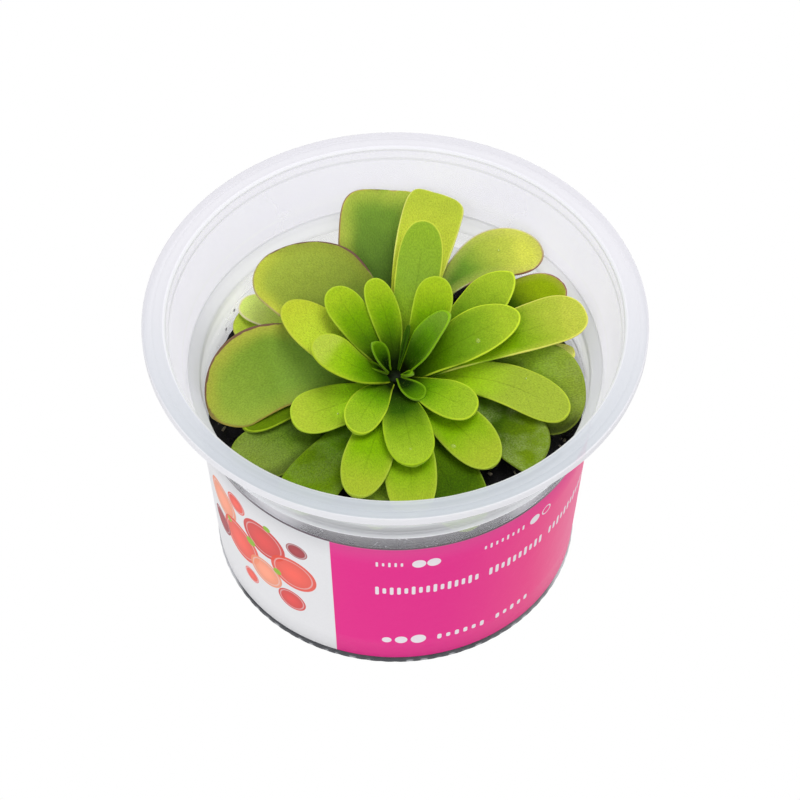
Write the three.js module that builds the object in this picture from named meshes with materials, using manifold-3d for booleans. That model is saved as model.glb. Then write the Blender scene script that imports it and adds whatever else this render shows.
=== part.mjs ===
// A butterwort (Pinguicula) in its clear growing cup.
// Units are millimetres, +Z is up, and the origin is the middle of the cup's underside.
// The front of the cup, where its label starts, faces -Y.

import * as THREE from 'three';
import { mergeVertices } from 'three/addons/utils/BufferGeometryUtils.js';
import Module from 'manifold-3d';

const wasm = await Module();
wasm.setup();

// ---- driving dimensions ----------------------------------------------------

const CLEARANCE = 0.3;            // gap between pieces that touch
const ROUND_SIDES = 64;           // facets round the cup and its label

// The cup, from the foot up.
const WALL = 0.9;
const BODY_RADIUS_LOW = 37.3;     // outside, at LABEL_LOW
const BODY_RADIUS_HIGH = 39.8;    // outside, at LABEL_HIGH
const LABEL_LOW = 1.6;
const LABEL_HIGH = 42.6;
const FOOT_RADIUS = 37.8;
const FOOT_HEIGHT = 1.3;
const FOOT_NOTCH = 0.25;          // depth of the notches round the foot
const BASE_KICK = 1.2;            // rise of the base's middle above the foot
const STEP_HEIGHT = 48.8;         // the wall steps out here, below the neck
const NECK_RADIUS_LOW = 42.0;
const NECK_RADIUS_HIGH = 45.7;
const RIM_RADIUS = 50.0;
const RIM_TOP = 66.0;
const RIM_LIP = 1.9;              // height of the flange's turned-down edge
const RIDGE_RADIUS = 45.5;
const RIDGE_RISE = 0.1;
const EDGE_DROP = 0.5;            // of the flange's inner edge below its top

// The label, a thin sleeve round the body.
const LABEL_THICKNESS = 0.3;

// The growing medium and the hole that the rootstock stands in.
const MEDIUM_LEVEL = 40.3;
const MEDIUM_CROWN = 41.3;        // its level round the plant
const MEDIUM_SIDES = 40;
const MEDIUM_ROUGHNESS = 0.35;
const MEDIUM_TOP_RINGS = [34, 27, 20, 13, 7];
const ROOT_RADIUS = 2.3;
const ROOT_TIP_RADIUS = 1.0;
const ROOT_BOTTOM = 24.0;
const ROOT_TOP = 45.7;

// The three whorls of leaves, stacked on the rootstock.
const WHORLS = {
  outer: { base: 42.7, bottom: 41.7, top: 44.4, radius: 5.4 },
  middle: { base: 44.7, bottom: 43.9, top: 46.2, radius: 3.9 },
  heart: { base: 46.6, bottom: 46.0, top: 47.6, radius: 2.7 },
};
const LEAF_START = 1.5;           // distance of a blade's foot from the axis
const BLADE_MIDDLE = 1.1;         // thickness along the midrib
const BLADE_EDGE = 0.7;           // thickness at the margin
const PETIOLE = 0.3;              // width of the blade's foot, as a share of its width
const TIP_WIDTH = 0.08;
const BLADE_STEPS = 9;
const BLADE_COLUMNS = 4;

// Each leaf: heading and rise of its foot (degrees), its length and width (mm), how far
// it droops, swings sideways and twists from foot to tip (degrees), where along it the
// blade is widest, how blunt its tip is, and how much its margins curl up. The left half
// is wider by skew and widest later by lean. Lift raises the foot above the whorl's base,
// and a high taper keeps the blade narrow for longer.
const OUTER_LEAVES = [
  {
    heading: 92.5, length: 42.6, width: 17, rise: 16, droop: -7, swing: -5, twist: -2,
    widest: 0.56, blunt: 5.49, skew: 0.35, lean: 0.03,
  },
  {
    heading: 77, length: 44.5, width: 11, rise: 36.5, droop: 44.5, swing: -71.5, twist: 26.5,
    widest: 0.82, blunt: 1.93, skew: 0.28, lean: -0.05, taper: 10,
  },
  { heading: 26.5, length: 39.5, width: 15.5, rise: 16, droop: 3, swing: 8.5, twist: -5.5, widest: 0.62 },
  {
    heading: 137.5, length: 37.5, width: 23, rise: 32, droop: 26, swing: -2, twist: 1.5,
    widest: 0.73, blunt: 1.81, skew: -0.21, lean: 0.07,
  },
  { heading: 133, length: 37.5, width: 9, rise: 3, droop: 3, swing: 29, twist: 5, widest: 0.8, lift: 0.8 },
  { heading: 147, length: 36.5, width: 16, rise: 1, droop: 1, swing: 5, twist: 0 },
  {
    heading: 167, length: 39.2, width: 18.5, rise: 17, droop: 21, swing: 59, twist: -40,
    widest: 0.73, blunt: 1.8, skew: -0.3, lean: 0.1, curl: 0.18,
  },
  { heading: 178, length: 32, width: 8, rise: 6, droop: 8, swing: 49, twist: 0, widest: 0.78, lift: 0.5 },
  { heading: 199, length: 36.5, width: 12.5, rise: 2, droop: 3, swing: 30.5, twist: -4, widest: 0.8 },
  {
    heading: 238, length: 36.5, width: 12, rise: 5, droop: 7, swing: -1.5, twist: 0,
    widest: 0.79, lift: 0.6,
  },
  { heading: 264, length: 34, width: 12, rise: 2, droop: 3, swing: 0, twist: 0 },
  { heading: 293, length: 37, width: 14, rise: 3, droop: 5, swing: 0, twist: 0 },
  {
    heading: 328, length: 34, width: 13.5, rise: 9.5, droop: 13, swing: -5, twist: 7.5,
    widest: 0.81, skew: 0.35, lean: -0.18,
  },
  {
    heading: 351, length: 37.6, width: 19.5, rise: 8.5, droop: 3, swing: -4.5, twist: 28,
    widest: 0.75, blunt: 2.2, skew: 0.22, lean: -0.06,
  },
  {
    heading: 4, length: 36.5, width: 7.5, rise: 12, droop: 8, swing: 9, twist: -8,
    widest: 0.75, lift: 0.6,
  },
];
const MIDDLE_LEAVES = [
  {
    heading: 84, length: 43.2, width: 12.5, rise: 41.5, droop: 47.5, swing: -7, twist: 12.5,
    widest: 0.82, blunt: 3.42, skew: -0.35, lean: -0.03,
  },
  { heading: 71, length: 33, width: 9.5, rise: 44, droop: 24, swing: 15, twist: 0, widest: 0.7 },
  {
    heading: 20, length: 32, width: 10.5, rise: 26.5, droop: 8, swing: 39, twist: -7.5,
    widest: 0.71, blunt: 1.85, skew: 0.23, lean: 0.05,
  },
  {
    heading: 17.5, length: 28, width: 11, rise: 40.5, droop: 26.5, swing: -2, twist: 12,
    widest: 0.67, blunt: 1.84,
  },
  {
    heading: 13, length: 40, width: 11, rise: 26.5, droop: 23.5, swing: 2, twist: 11,
    widest: 0.82, skew: 0.07,
  },
  { heading: 4, length: 36, width: 9.5, rise: 17, droop: 24, swing: -46, twist: 18, widest: 0.72 },
  { heading: 320, length: 28, width: 10.5, rise: 10.5, droop: 18.5, swing: -18, twist: 10 },
  { heading: 281, length: 34, width: 10.5, rise: 8, droop: 12, swing: -12, twist: 0 },
  { heading: 256, length: 30.5, width: 10, rise: 12, droop: 14, swing: 0, twist: -2 },
  { heading: 217, length: 22.5, width: 10.5, rise: 14, droop: 16, swing: -16, twist: -12, widest: 0.7 },
  {
    heading: 165.5, length: 26.5, width: 13, rise: 33.5, droop: 20.5, swing: -30.5, twist: 13,
    widest: 0.63, blunt: 1.91, lean: 0.05,
  },
];
const HEART_LEAVES = [
  { heading: 95, length: 19.5, width: 6.5, rise: 50, droop: 26, swing: 26, twist: -3, widest: 0.69 },
  { heading: 138, length: 21, width: 8, rise: 44, droop: 22, swing: -10, twist: -5, widest: 0.69 },
  { heading: 206, length: 19, width: 8.5, rise: 42, droop: 16, swing: -66, twist: -6, widest: 0.61 },
  { heading: 236, length: 17.5, width: 8, rise: 20, droop: 20, swing: 18, twist: -15, widest: 0.62 },
  { heading: 278, length: 23.5, width: 10, rise: 14, droop: 16, swing: 3, twist: 0, widest: 0.68 },
  { heading: 321, length: 18.5, width: 8.5, rise: 20, droop: 22, swing: 8, twist: 14, widest: 0.7 },
  { heading: 35, length: 21.5, width: 8, rise: 48, droop: 20, swing: 58, twist: 6, widest: 0.73 },
  {
    heading: 19, length: 17.5, width: 7, rise: 58, droop: 10, swing: 14, twist: -10,
    widest: 0.54, curl: 0.35,
  },
  {
    heading: 298, length: 8, width: 4.6, rise: 13, droop: 10, swing: 18, twist: -4,
    widest: 0.71, curl: 0.45, lift: 1.1,
  },
  { heading: 175, length: 5.4, width: 1.9, rise: 36, droop: 10, swing: 0, twist: 0, curl: 0.3, lift: 0.9 },
  {
    heading: 157, length: 7.6, width: 3.8, rise: 63, droop: 10, swing: -30, twist: 11,
    widest: 0.64, curl: 0.6, lift: 0.9,
  },
  { heading: 66, length: 10, width: 1.2, rise: 62, droop: 8, swing: 0, twist: 0, curl: 0.3, lift: 0.5 },
  { heading: 334, length: 3.2, width: 1.7, rise: 44, droop: 10, swing: 0, twist: 0, curl: 0.2, lift: 1.3 },
];

// ---- solids ------------------------------------------------------------------

const radians = THREE.MathUtils.degToRad;

/** The radius of the cup's outside wall at a height of its body. */
function bodyRadius(height) {
  const share = (height - LABEL_LOW) / (LABEL_HIGH - LABEL_LOW);
  return THREE.MathUtils.lerp(BODY_RADIUS_LOW, BODY_RADIUS_HIGH, share);
}

/** A closed geometry without seams, its faces turned outward. */
function closed(geometry) {
  geometry.deleteAttribute('normal');
  geometry.deleteAttribute('uv');
  const merged = mergeVertices(geometry, 1e-4);
  const at = (corner) => new THREE.Vector3().fromBufferAttribute(merged.attributes.position, corner);
  const kept = [];
  let volume = 0;
  for (let first = 0; first < merged.index.count; first += 3) {
    const [a, b, c] = [0, 1, 2].map((step) => merged.index.getX(first + step));
    if (a === b || b === c || c === a) continue;
    kept.push(a, b, c);
    volume += at(a).dot(at(b).cross(at(c)));
  }
  merged.setIndex(volume < 0 ? kept.reverse() : kept);
  return merged;
}

/** A profile of [radius, height] points turned round the Z axis. */
function turned(profile, sides = ROUND_SIDES) {
  const points = profile.map(([radius, height]) => new THREE.Vector2(radius, height));
  return closed(new THREE.LatheGeometry(points, sides).rotateX(Math.PI / 2));
}

function toManifold(geometry) {
  return new wasm.Manifold(new wasm.Mesh({
    numProp: 3,
    vertProperties: Float32Array.from(geometry.attributes.position.array),
    triVerts: Uint32Array.from(geometry.index.array),
  }));
}

function toGeometry(solid) {
  const { vertProperties, triVerts } = solid.getMesh();
  const geometry = new THREE.BufferGeometry();
  geometry.setAttribute('position', new THREE.BufferAttribute(vertProperties, 3));
  geometry.setIndex([...triVerts]);
  return geometry;
}

/** Moves each vertex by a rule that returns its new place. */
function reshaped(geometry, rule) {
  const place = geometry.attributes.position;
  for (let corner = 0; corner < place.count; corner += 1) {
    const moved = rule(new THREE.Vector3().fromBufferAttribute(place, corner));
    place.setXYZ(corner, moved.x, moved.y, moved.z);
  }
  return geometry;
}

// ---- the cup and what it holds -------------------------------------------------

function cup() {
  const bodyTop = STEP_HEIGHT - 0.2;
  const neckTop = RIM_TOP - 2.0;
  const outside = [
    [0, BASE_KICK],
    [FOOT_RADIUS - 4.5, BASE_KICK],
    [FOOT_RADIUS - 3.5, 0],
    [FOOT_RADIUS, 0],
    [FOOT_RADIUS, FOOT_HEIGHT],
    [BODY_RADIUS_LOW, FOOT_HEIGHT + 0.2],
    [bodyRadius(bodyTop), bodyTop],
    [NECK_RADIUS_LOW, STEP_HEIGHT],
    [NECK_RADIUS_LOW + 0.2, STEP_HEIGHT + 0.9],
    [NECK_RADIUS_HIGH, neckTop - 0.6],
    [RIM_RADIUS - 1.1, neckTop],
    [RIM_RADIUS - 0.9, RIM_TOP - RIM_LIP],
    [RIM_RADIUS, RIM_TOP - RIM_LIP],
    [RIM_RADIUS, RIM_TOP - 0.3],
    [RIM_RADIUS - 0.4, RIM_TOP],
    [RIDGE_RADIUS + 1.0, RIM_TOP],
    [RIDGE_RADIUS + 0.4, RIM_TOP + RIDGE_RISE],
    [RIDGE_RADIUS - 0.2, RIM_TOP + RIDGE_RISE - EDGE_DROP],
    [RIDGE_RADIUS - 0.6, RIM_TOP - 2.6],
  ];
  const inside = [
    [NECK_RADIUS_LOW - 0.3, STEP_HEIGHT + 3.2],
    [bodyRadius(STEP_HEIGHT) - WALL, STEP_HEIGHT + 0.8],
    [BODY_RADIUS_LOW - WALL, BASE_KICK + WALL + 1.2],
    [BODY_RADIUS_LOW - WALL - 1.2, BASE_KICK + WALL],
    [0, BASE_KICK + WALL],
  ];
  const pitch = (2 * Math.PI) / ROUND_SIDES;
  return reshaped(turned([...outside, ...inside]), (point) => {
    const radius = Math.hypot(point.x, point.y);
    const notched = Math.round(Math.atan2(point.y, point.x) / pitch) % 2 !== 0;
    if (notched && point.z < LABEL_LOW - 0.2 && radius > FOOT_RADIUS - 0.1) {
      const share = (radius - FOOT_NOTCH) / radius;
      return point.set(point.x * share, point.y * share, point.z);
    }
    return point;
  });
}

function label() {
  const low = BODY_RADIUS_LOW + CLEARANCE;
  const high = BODY_RADIUS_HIGH + CLEARANCE;
  return turned([
    [low, LABEL_LOW],
    [low + LABEL_THICKNESS, LABEL_LOW],
    [high + LABEL_THICKNESS, LABEL_HIGH],
    [high, LABEL_HIGH],
    [low, LABEL_LOW],
  ]);
}

function growingMedium() {
  const bottom = BASE_KICK + WALL + CLEARANCE;
  const wall = (height) => bodyRadius(height) - WALL - 2 * CLEARANCE;
  const swell = (radius) => MEDIUM_LEVEL
    + (MEDIUM_CROWN - MEDIUM_LEVEL) * THREE.MathUtils.smoothstep(MEDIUM_TOP_RINGS[0] - radius, 0, 20);
  const solid = turned([
    [0, bottom],
    [wall(bottom) - 1.6, bottom],
    [wall(bottom + 1.6), bottom + 1.6],
    [wall(MEDIUM_LEVEL), MEDIUM_LEVEL],
    ...MEDIUM_TOP_RINGS.map((radius) => [radius, swell(radius)]),
    [ROOT_RADIUS + CLEARANCE, MEDIUM_CROWN],
    [ROOT_TIP_RADIUS + CLEARANCE, ROOT_BOTTOM - CLEARANCE],
    [0, ROOT_BOTTOM - CLEARANCE],
  ], MEDIUM_SIDES);
  return reshaped(solid, (point) => {
    const radius = Math.hypot(point.x, point.y);
    if (point.z < MEDIUM_LEVEL - 1 || radius > MEDIUM_TOP_RINGS[0] + 1 || radius < 6) return point;
    const lump = Math.sin(point.x * 0.9 + 1.3) * Math.cos(point.y * 0.7 + 0.4);
    return point.setZ(point.z + MEDIUM_ROUGHNESS * (lump - 1));
  });
}

function rootstock() {
  return turned([
    [0, ROOT_BOTTOM],
    [ROOT_TIP_RADIUS, ROOT_BOTTOM],
    [ROOT_RADIUS, MEDIUM_CROWN],
    [ROOT_RADIUS, ROOT_TOP - 0.6],
    [ROOT_RADIUS - 0.6, ROOT_TOP],
    [0, ROOT_TOP],
  ], 20);
}

// ---- the leaves ------------------------------------------------------------------

/** Half the blade's width on one side (1 left, -1 right) at a share of its length. */
function halfWidth(leaf, share, side) {
  const { width, widest = 0.66, blunt = 2.3, skew = 0, lean = 0, taper = 1.35 } = leaf;
  const crest = widest + side * lean;
  const greatest = (width / 2) * (1 + side * skew);
  if (share < crest) {
    return greatest * (PETIOLE + (1 - PETIOLE) * Math.sin((Math.PI / 2) * (share / crest)) ** taper);
  }
  const past = Math.min(1, (share - crest) / (1 - crest));
  return greatest * Math.max(TIP_WIDTH, (1 - past ** blunt) ** (1 / blunt));
}

/** Points along a leaf's midrib, each with its sideways and upward directions. */
function midrib(leaf, base) {
  const { heading, length, rise, droop, swing, twist, lift = 0 } = leaf;
  const start = new THREE.Vector3(LEAF_START, 0, base + lift)
    .applyAxisAngle(new THREE.Vector3(0, 0, 1), radians(heading));
  const frameAt = (share) => {
    const turn = radians(heading + swing * share);
    const climb = radians(rise - droop * share);
    const along = new THREE.Vector3(
      Math.cos(climb) * Math.cos(turn),
      Math.cos(climb) * Math.sin(turn),
      Math.sin(climb),
    );
    const side = new THREE.Vector3(-Math.sin(turn), Math.cos(turn), 0)
      .applyAxisAngle(along, radians(twist * share));
    return { along, side, up: along.clone().cross(side) };
  };
  const stations = [];
  const place = start.clone();
  let before = 0;
  for (let step = 0; step <= BLADE_STEPS; step += 1) {
    const share = 1 - (1 - step / BLADE_STEPS) ** 1.6;
    const halfway = frameAt((share + before) / 2).along;
    place.addScaledVector(halfway, (share - before) * length);
    stations.push({ share, place: place.clone(), ...frameAt(share) });
    before = share;
  }
  return stations;
}

/** One leaf as a closed blade: two alike grids of points, joined round the margin. */
function blade(leaf, base) {
  const { curl = 0.12 } = leaf;
  const columns = BLADE_COLUMNS + 1;
  const top = [];
  const bottom = [];
  for (const { share, place, side, up } of midrib(leaf, base)) {
    for (let column = 0; column < columns; column += 1) {
      const across = (2 * column) / BLADE_COLUMNS - 1;
      const half = halfWidth(leaf, share, across > 0 ? 1 : -1);
      const middle = place.clone()
        .addScaledVector(side, half * across)
        .addScaledVector(up, curl * half * across * across);
      const thick = THREE.MathUtils.lerp(BLADE_MIDDLE, BLADE_EDGE, Math.abs(across)) / 2;
      top.push(middle.clone().addScaledVector(up, thick));
      bottom.push(middle.clone().addScaledVector(up, -thick));
    }
  }
  const rows = BLADE_STEPS + 1;
  const under = top.length;
  const index = [];
  const quad = (a, b, c, d) => index.push(a, b, c, a, c, d);
  for (let row = 0; row < rows - 1; row += 1) {
    for (let column = 0; column < BLADE_COLUMNS; column += 1) {
      const near = row * columns + column;
      const far = near + columns;
      quad(near, far, far + 1, near + 1);
      index.push(under + near, under + far + 1, under + far);
      index.push(under + near, under + near + 1, under + far + 1);
    }
    const right = row * columns;
    const left = right + BLADE_COLUMNS;
    quad(right, under + right, under + right + columns, right + columns);
    quad(left, left + columns, under + left + columns, under + left);
  }
  for (let column = 0; column < BLADE_COLUMNS; column += 1) {
    const last = (rows - 1) * columns + column;
    quad(column, column + 1, under + column + 1, under + column);
    quad(last, under + last, under + last + 1, last + 1);
  }
  const geometry = new THREE.BufferGeometry().setFromPoints([...top, ...bottom]);
  geometry.setIndex(index);
  return closed(geometry);
}

/** A whorl: its blades fused to a collar, with room for the core that stands in it. */
function whorl(leaves, { base, bottom, top, radius }, bore, above) {
  const collar = toManifold(turned([[0, bottom], [radius, bottom], [radius, top], [0, top]], 24));
  let solid = leaves.reduce((sum, leaf) => sum.add(toManifold(blade(leaf, base))), collar);
  if (bore) {
    solid = solid.subtract(toManifold(turned([[0, 0], [bore, 0], [bore, RIM_TOP], [0, RIM_TOP]], 24)));
  }
  if (above) {
    const reach = above.radius + CLEARANCE;
    const floor = above.bottom - CLEARANCE;
    solid = solid.subtract(
      toManifold(turned([[0, floor], [reach, floor], [reach, RIM_TOP], [0, RIM_TOP]], 24)),
    );
  }
  return toGeometry(solid);
}

// ---- the scene graph -------------------------------------------------------------

function mesh(name, geometry, color, roughness, extra = {}) {
  geometry.computeVertexNormals();
  const material = new THREE.MeshStandardMaterial({ color, roughness, metalness: 0, ...extra });
  const piece = new THREE.Mesh(geometry, material);
  piece.name = name;
  return piece;
}

const rootBore = ROOT_RADIUS + CLEARANCE;
const group = new THREE.Group();
group.add(mesh('cup', cup(), 0xe8e8ec, 0.25, { transparent: true, opacity: 0.5 }));
group.add(mesh('label', label(), 0xe63f97, 0.4));
group.add(mesh('growing_medium', growingMedium(), 0x17141a, 0.9));
group.add(mesh('rootstock', rootstock(), 0x8f8f58, 0.7));
group.add(mesh('outer_leaves', whorl(OUTER_LEAVES, WHORLS.outer, rootBore, WHORLS.middle), 0x7fa02f, 0.55));
group.add(mesh('middle_leaves', whorl(MIDDLE_LEAVES, WHORLS.middle, rootBore, WHORLS.heart), 0xa5c628, 0.5));
group.add(mesh('heart_leaves', whorl(HEART_LEAVES, WHORLS.heart), 0x8fbb1c, 0.5));

export default group;
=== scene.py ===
"""A butterwort in its clear growing cup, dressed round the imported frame.

Sizes are millimetres until a finished mesh is scaled to the frame's metres. +Z is up, the
origin is the middle of the cup's underside, and the front of the cup faces -Y.
"""

import logging
import math
import random
from dataclasses import dataclass, field, replace
from enum import Enum
from typing import Any, Callable, Iterable, Sequence, Union

import bmesh
import bpy
from mathutils import Matrix, Vector, noise


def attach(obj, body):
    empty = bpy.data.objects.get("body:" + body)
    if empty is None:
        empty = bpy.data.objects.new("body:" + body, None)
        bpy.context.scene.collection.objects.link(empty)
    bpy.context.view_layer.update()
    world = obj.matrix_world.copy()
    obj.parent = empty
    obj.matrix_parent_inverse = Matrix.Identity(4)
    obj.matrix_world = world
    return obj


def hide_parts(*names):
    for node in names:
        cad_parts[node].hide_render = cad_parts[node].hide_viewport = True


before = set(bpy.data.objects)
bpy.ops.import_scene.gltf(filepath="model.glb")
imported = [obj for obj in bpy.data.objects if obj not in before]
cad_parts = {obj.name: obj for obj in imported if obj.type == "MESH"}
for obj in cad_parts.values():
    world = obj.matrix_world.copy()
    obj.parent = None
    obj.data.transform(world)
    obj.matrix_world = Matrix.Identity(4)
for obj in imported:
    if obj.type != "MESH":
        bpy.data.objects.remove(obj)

Colour = tuple[float, float, float, float]
Point = tuple[float, float]
Number = Union["Value", float]

MM = 0.001                      # metres in a millimetre
BODY = "root"
log = logging.getLogger("butterwort")


def ink(red: int, green: int, blue: int) -> Colour:
    """A screen colour of 0 to 255 a channel, as the renderer's linear colour.

    Args:
        red: 0 to 255.
        green: 0 to 255.
        blue: 0 to 255.

    Returns:
        The colour, opaque.
    """
    shares = (channel / 255 for channel in (red, green, blue))
    linear = [s / 12.92 if s <= 0.04045 else ((s + 0.055) / 1.055) ** 2.4 for s in shares]
    return (linear[0], linear[1], linear[2], 1.0)


def lighter(colour: Colour, share: float) -> Colour:
    """A fixed colour times a share, which is above 1 for a lighter one."""
    return (colour[0] * share, colour[1] * share, colour[2] * share, 1.0)


def ease(value: float, low: float, high: float) -> float:
    """A smooth step of value from 0 at low to 1 at high."""
    share = min(1.0, max(0.0, (value - low) / (high - low)))
    return share * share * (3 - 2 * share)


# ---- shader maths ---------------------------------------------------------------------


def maths(operation: str, swapped: bool = False) -> Callable[["Value", Number], "Value"]:
    """Makes one of Value's arithmetic methods.

    Args:
        operation: the Math node's operation.
        swapped: whether the other value comes first, as in 1 - mask.

    Returns:
        The method.
    """
    def apply(value: "Value", other: Number) -> "Value":
        """The operation's result on the two values."""
        first, second = (other, value) if swapped else (value, other)
        return value.paint.math(operation, first, second)

    return apply


@dataclass(frozen=True)
class Value:
    """A number that varies over a surface: a node's socket with Python's operators.

    Args:
        paint: the material that the socket belongs to.
        socket: the output socket.
    """

    paint: "Paint"
    socket: bpy.types.NodeSocket

    __add__ = maths("ADD")
    __radd__ = maths("ADD", swapped=True)
    __sub__ = maths("SUBTRACT")
    __rsub__ = maths("SUBTRACT", swapped=True)
    __mul__ = maths("MULTIPLY")
    __rmul__ = maths("MULTIPLY", swapped=True)
    __truediv__ = maths("DIVIDE")
    __rtruediv__ = maths("DIVIDE", swapped=True)
    __pow__ = maths("POWER")
    __mod__ = maths("FLOORED_MODULO")
    most = maths("MAXIMUM")

    def __abs__(self) -> "Value":
        """This value without its sign."""
        return self.paint.math("ABSOLUTE", self)

    def to(self, other: Number, share: Number) -> "Value":
        """This value moved towards another by a share."""
        return self + (other - self) * share

    def ramp(self, low: float, high: float) -> "Value":
        """A smooth step of this value from 0 at low to 1 at high.

        Args:
            low: where the step starts.
            high: where the step ends.

        Returns:
            The step.
        """
        settings = {"interpolation_type": "SMOOTHSTEP"}
        sockets = {"Value": self, "From Min": low, "From Max": high}
        return Value(self.paint, self.paint.node("ShaderNodeMapRange", settings, sockets).outputs[0])

    def within(self, low: float, high: float, soft: float) -> "Value":
        """1 between low and high and 0 outside, with edges soft wide."""
        return self.ramp(low - soft, low + soft) * (1 - self.ramp(high - soft, high + soft))


class Paint:
    """A material in the making, with one Principled shader.

    Args:
        name: the material's name.
        constants: the shader's sockets that are the same all over the surface.
    """

    def __init__(self, name: str, constants: dict[str, Any] | None = None) -> None:
        """Makes the material, its shader and its output.

        Args:
            name: the material's name.
            constants: the shader's sockets that stay the same.
        """
        self.material = bpy.data.materials.new(name)
        self.material.use_nodes = True
        self.tree = self.material.node_tree
        self.tree.nodes.clear()
        self.shader = self.node("ShaderNodeBsdfPrincipled", None, constants)
        self.node("ShaderNodeOutputMaterial", None, {"Surface": self.shader.outputs[0]})

    def node(
        self,
        kind: str,
        settings: dict[str, Any] | None = None,
        sockets: dict[str | int, Any] | None = None,
    ) -> bpy.types.Node:
        """Adds a node.

        Args:
            kind: the node's type.
            settings: its own properties, set first; stops are a ramp's (place, colour) pairs.
            sockets: values or links of its inputs, by name or number.

        Returns:
            The node.
        """
        made = self.tree.nodes.new(kind)
        for name, value in (settings or {}).items():
            if name == "stops":
                elements = made.color_ramp.elements
                while len(elements) < len(value):
                    elements.new(1.0)
                for element, (place, colour) in zip(elements, value):
                    element.position, element.color = place, colour
            else:
                setattr(made, name, value)
        for key, value in (sockets or {}).items():
            source = value.socket if isinstance(value, Value) else value
            if isinstance(source, bpy.types.NodeSocket):
                self.tree.links.new(source, made.inputs[key])
            else:
                made.inputs[key].default_value = source
        return made

    def feed(self, name: str, value: Value) -> None:
        """Links a value to one of the shader's sockets."""
        self.tree.links.new(value.socket, self.shader.inputs[name])

    def math(self, operation: str, *values: Number) -> Value:
        """A Math node's result on one or two values."""
        sockets = dict(enumerate(values))
        return Value(self, self.node("ShaderNodeMath", {"operation": operation}, sockets).outputs[0])

    def blend(self, share: Number, first: Any, second: Any) -> Value:
        """Mixes two colours.

        Args:
            share: how much of the second colour there is.
            first: a colour, fixed or varying.
            second: a colour, fixed or varying.

        Returns:
            The mixed colour.
        """
        settings = {"data_type": "RGBA", "clamp_factor": True}
        made = self.node("ShaderNodeMix", settings, {0: share, 6: first, 7: second})
        return Value(self, made.outputs[2])

    def shade(self, colour: Any, amount: Number) -> Value:
        """Multiplies a colour by a number: above 1 is lighter, and below 1 darker."""
        made = self.node("ShaderNodeVectorMath", {"operation": "SCALE"}, {0: colour, "Scale": amount})
        return Value(self, made.outputs[0])

    def place(self) -> Value:
        """The point of the piece, in millimetres of its own frame.

        Returns:
            The point.
        """
        inside = self.node("ShaderNodeTexCoord").outputs["Object"]
        scaled = self.node("ShaderNodeVectorMath", {"operation": "SCALE"}, {0: inside, "Scale": 1 / MM})
        return Value(self, scaled.outputs[0])

    def axes(self, vector: Value) -> tuple[Value, Value, Value]:
        """The three numbers of a vector."""
        split = self.node("ShaderNodeSeparateXYZ", None, {0: vector})
        return Value(self, split.outputs[0]), Value(self, split.outputs[1]), Value(self, split.outputs[2])

    def vector(self, *numbers: Number) -> Value:
        """A vector of three numbers."""
        return Value(self, self.node("ShaderNodeCombineXYZ", None, dict(enumerate(numbers))).outputs[0])

    def attribute(self, name: str) -> Value:
        """A number that the mesh holds at each of its points."""
        return Value(self, self.node("ShaderNodeAttribute", {"attribute_name": name}).outputs["Fac"])

    def clouds(self, vector: Value, size: float, detail: float = 3.0, rough: float = 0.55) -> Value:
        """Smooth noise from 0 to 1 whose lumps are about size across."""
        sockets = {"Vector": vector, "Scale": 1 / size, "Detail": detail, "Roughness": rough}
        return Value(self, self.node("ShaderNodeTexNoise", None, sockets).outputs[0])

    def cells(self, vector: Value, size: float) -> Value:
        """The distance to the nearest of points about size apart, from 0 to about 1."""
        made = self.node("ShaderNodeTexVoronoi", None, {"Vector": vector, "Scale": 1 / size})
        return Value(self, made.outputs["Distance"])

    def distance(self, vector: Value, point: tuple[float, float, float]) -> Value:
        """How far a place is from a point."""
        made = self.node("ShaderNodeVectorMath", {"operation": "DISTANCE"}, {0: vector, 1: point})
        return Value(self, made.outputs["Value"])

    def relief(self, height: Value, depth: float, strength: float = 1.0) -> None:
        """Bumps the surface by a height of 0 to 1 that stands depth millimetres tall.

        Args:
            height: the height.
            depth: how tall a height of 1 stands.
            strength: the share of the bump that is used.
        """
        sockets = {"Height": height, "Distance": depth * MM, "Strength": strength}
        bump = self.node("ShaderNodeBump", None, sockets)
        self.tree.links.new(bump.outputs[0], self.shader.inputs["Normal"])


@dataclass(frozen=True)
class Mottled:
    """A finish of two colours that drift into each other with one noise."""

    name: str
    dark: Colour
    light: Colour
    size: float                       # of the noise's lumps
    detail: float = 3.0
    rough: float = 0.55
    spread: Point | None = None       # of the noise, over which the colours change
    squeeze: float = 1.0              # of the noise across the axis, for rings round it
    roughness: Point = (0.6, 0.3)     # of the surface, and what the noise adds
    relief: float = 0.0
    constants: dict[str, Any] = field(default_factory=dict)

    def material(self) -> bpy.types.Material:
        """The finish as a material.

        Returns:
            The material.
        """
        paint = Paint(self.name, self.constants)
        place = paint.place()
        if self.squeeze != 1.0:
            x, y, z = paint.axes(place)
            place = paint.vector(x * self.squeeze, y * self.squeeze, z)
        lumps = paint.clouds(place, self.size, self.detail, self.rough)
        share = lumps.ramp(*self.spread) if self.spread else lumps
        paint.feed("Base Color", paint.blend(share, self.dark, self.light))
        least, more = self.roughness
        paint.feed("Roughness", least + more * lumps)
        if self.relief:
            paint.relief(lumps, self.relief)
        return paint.material


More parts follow.
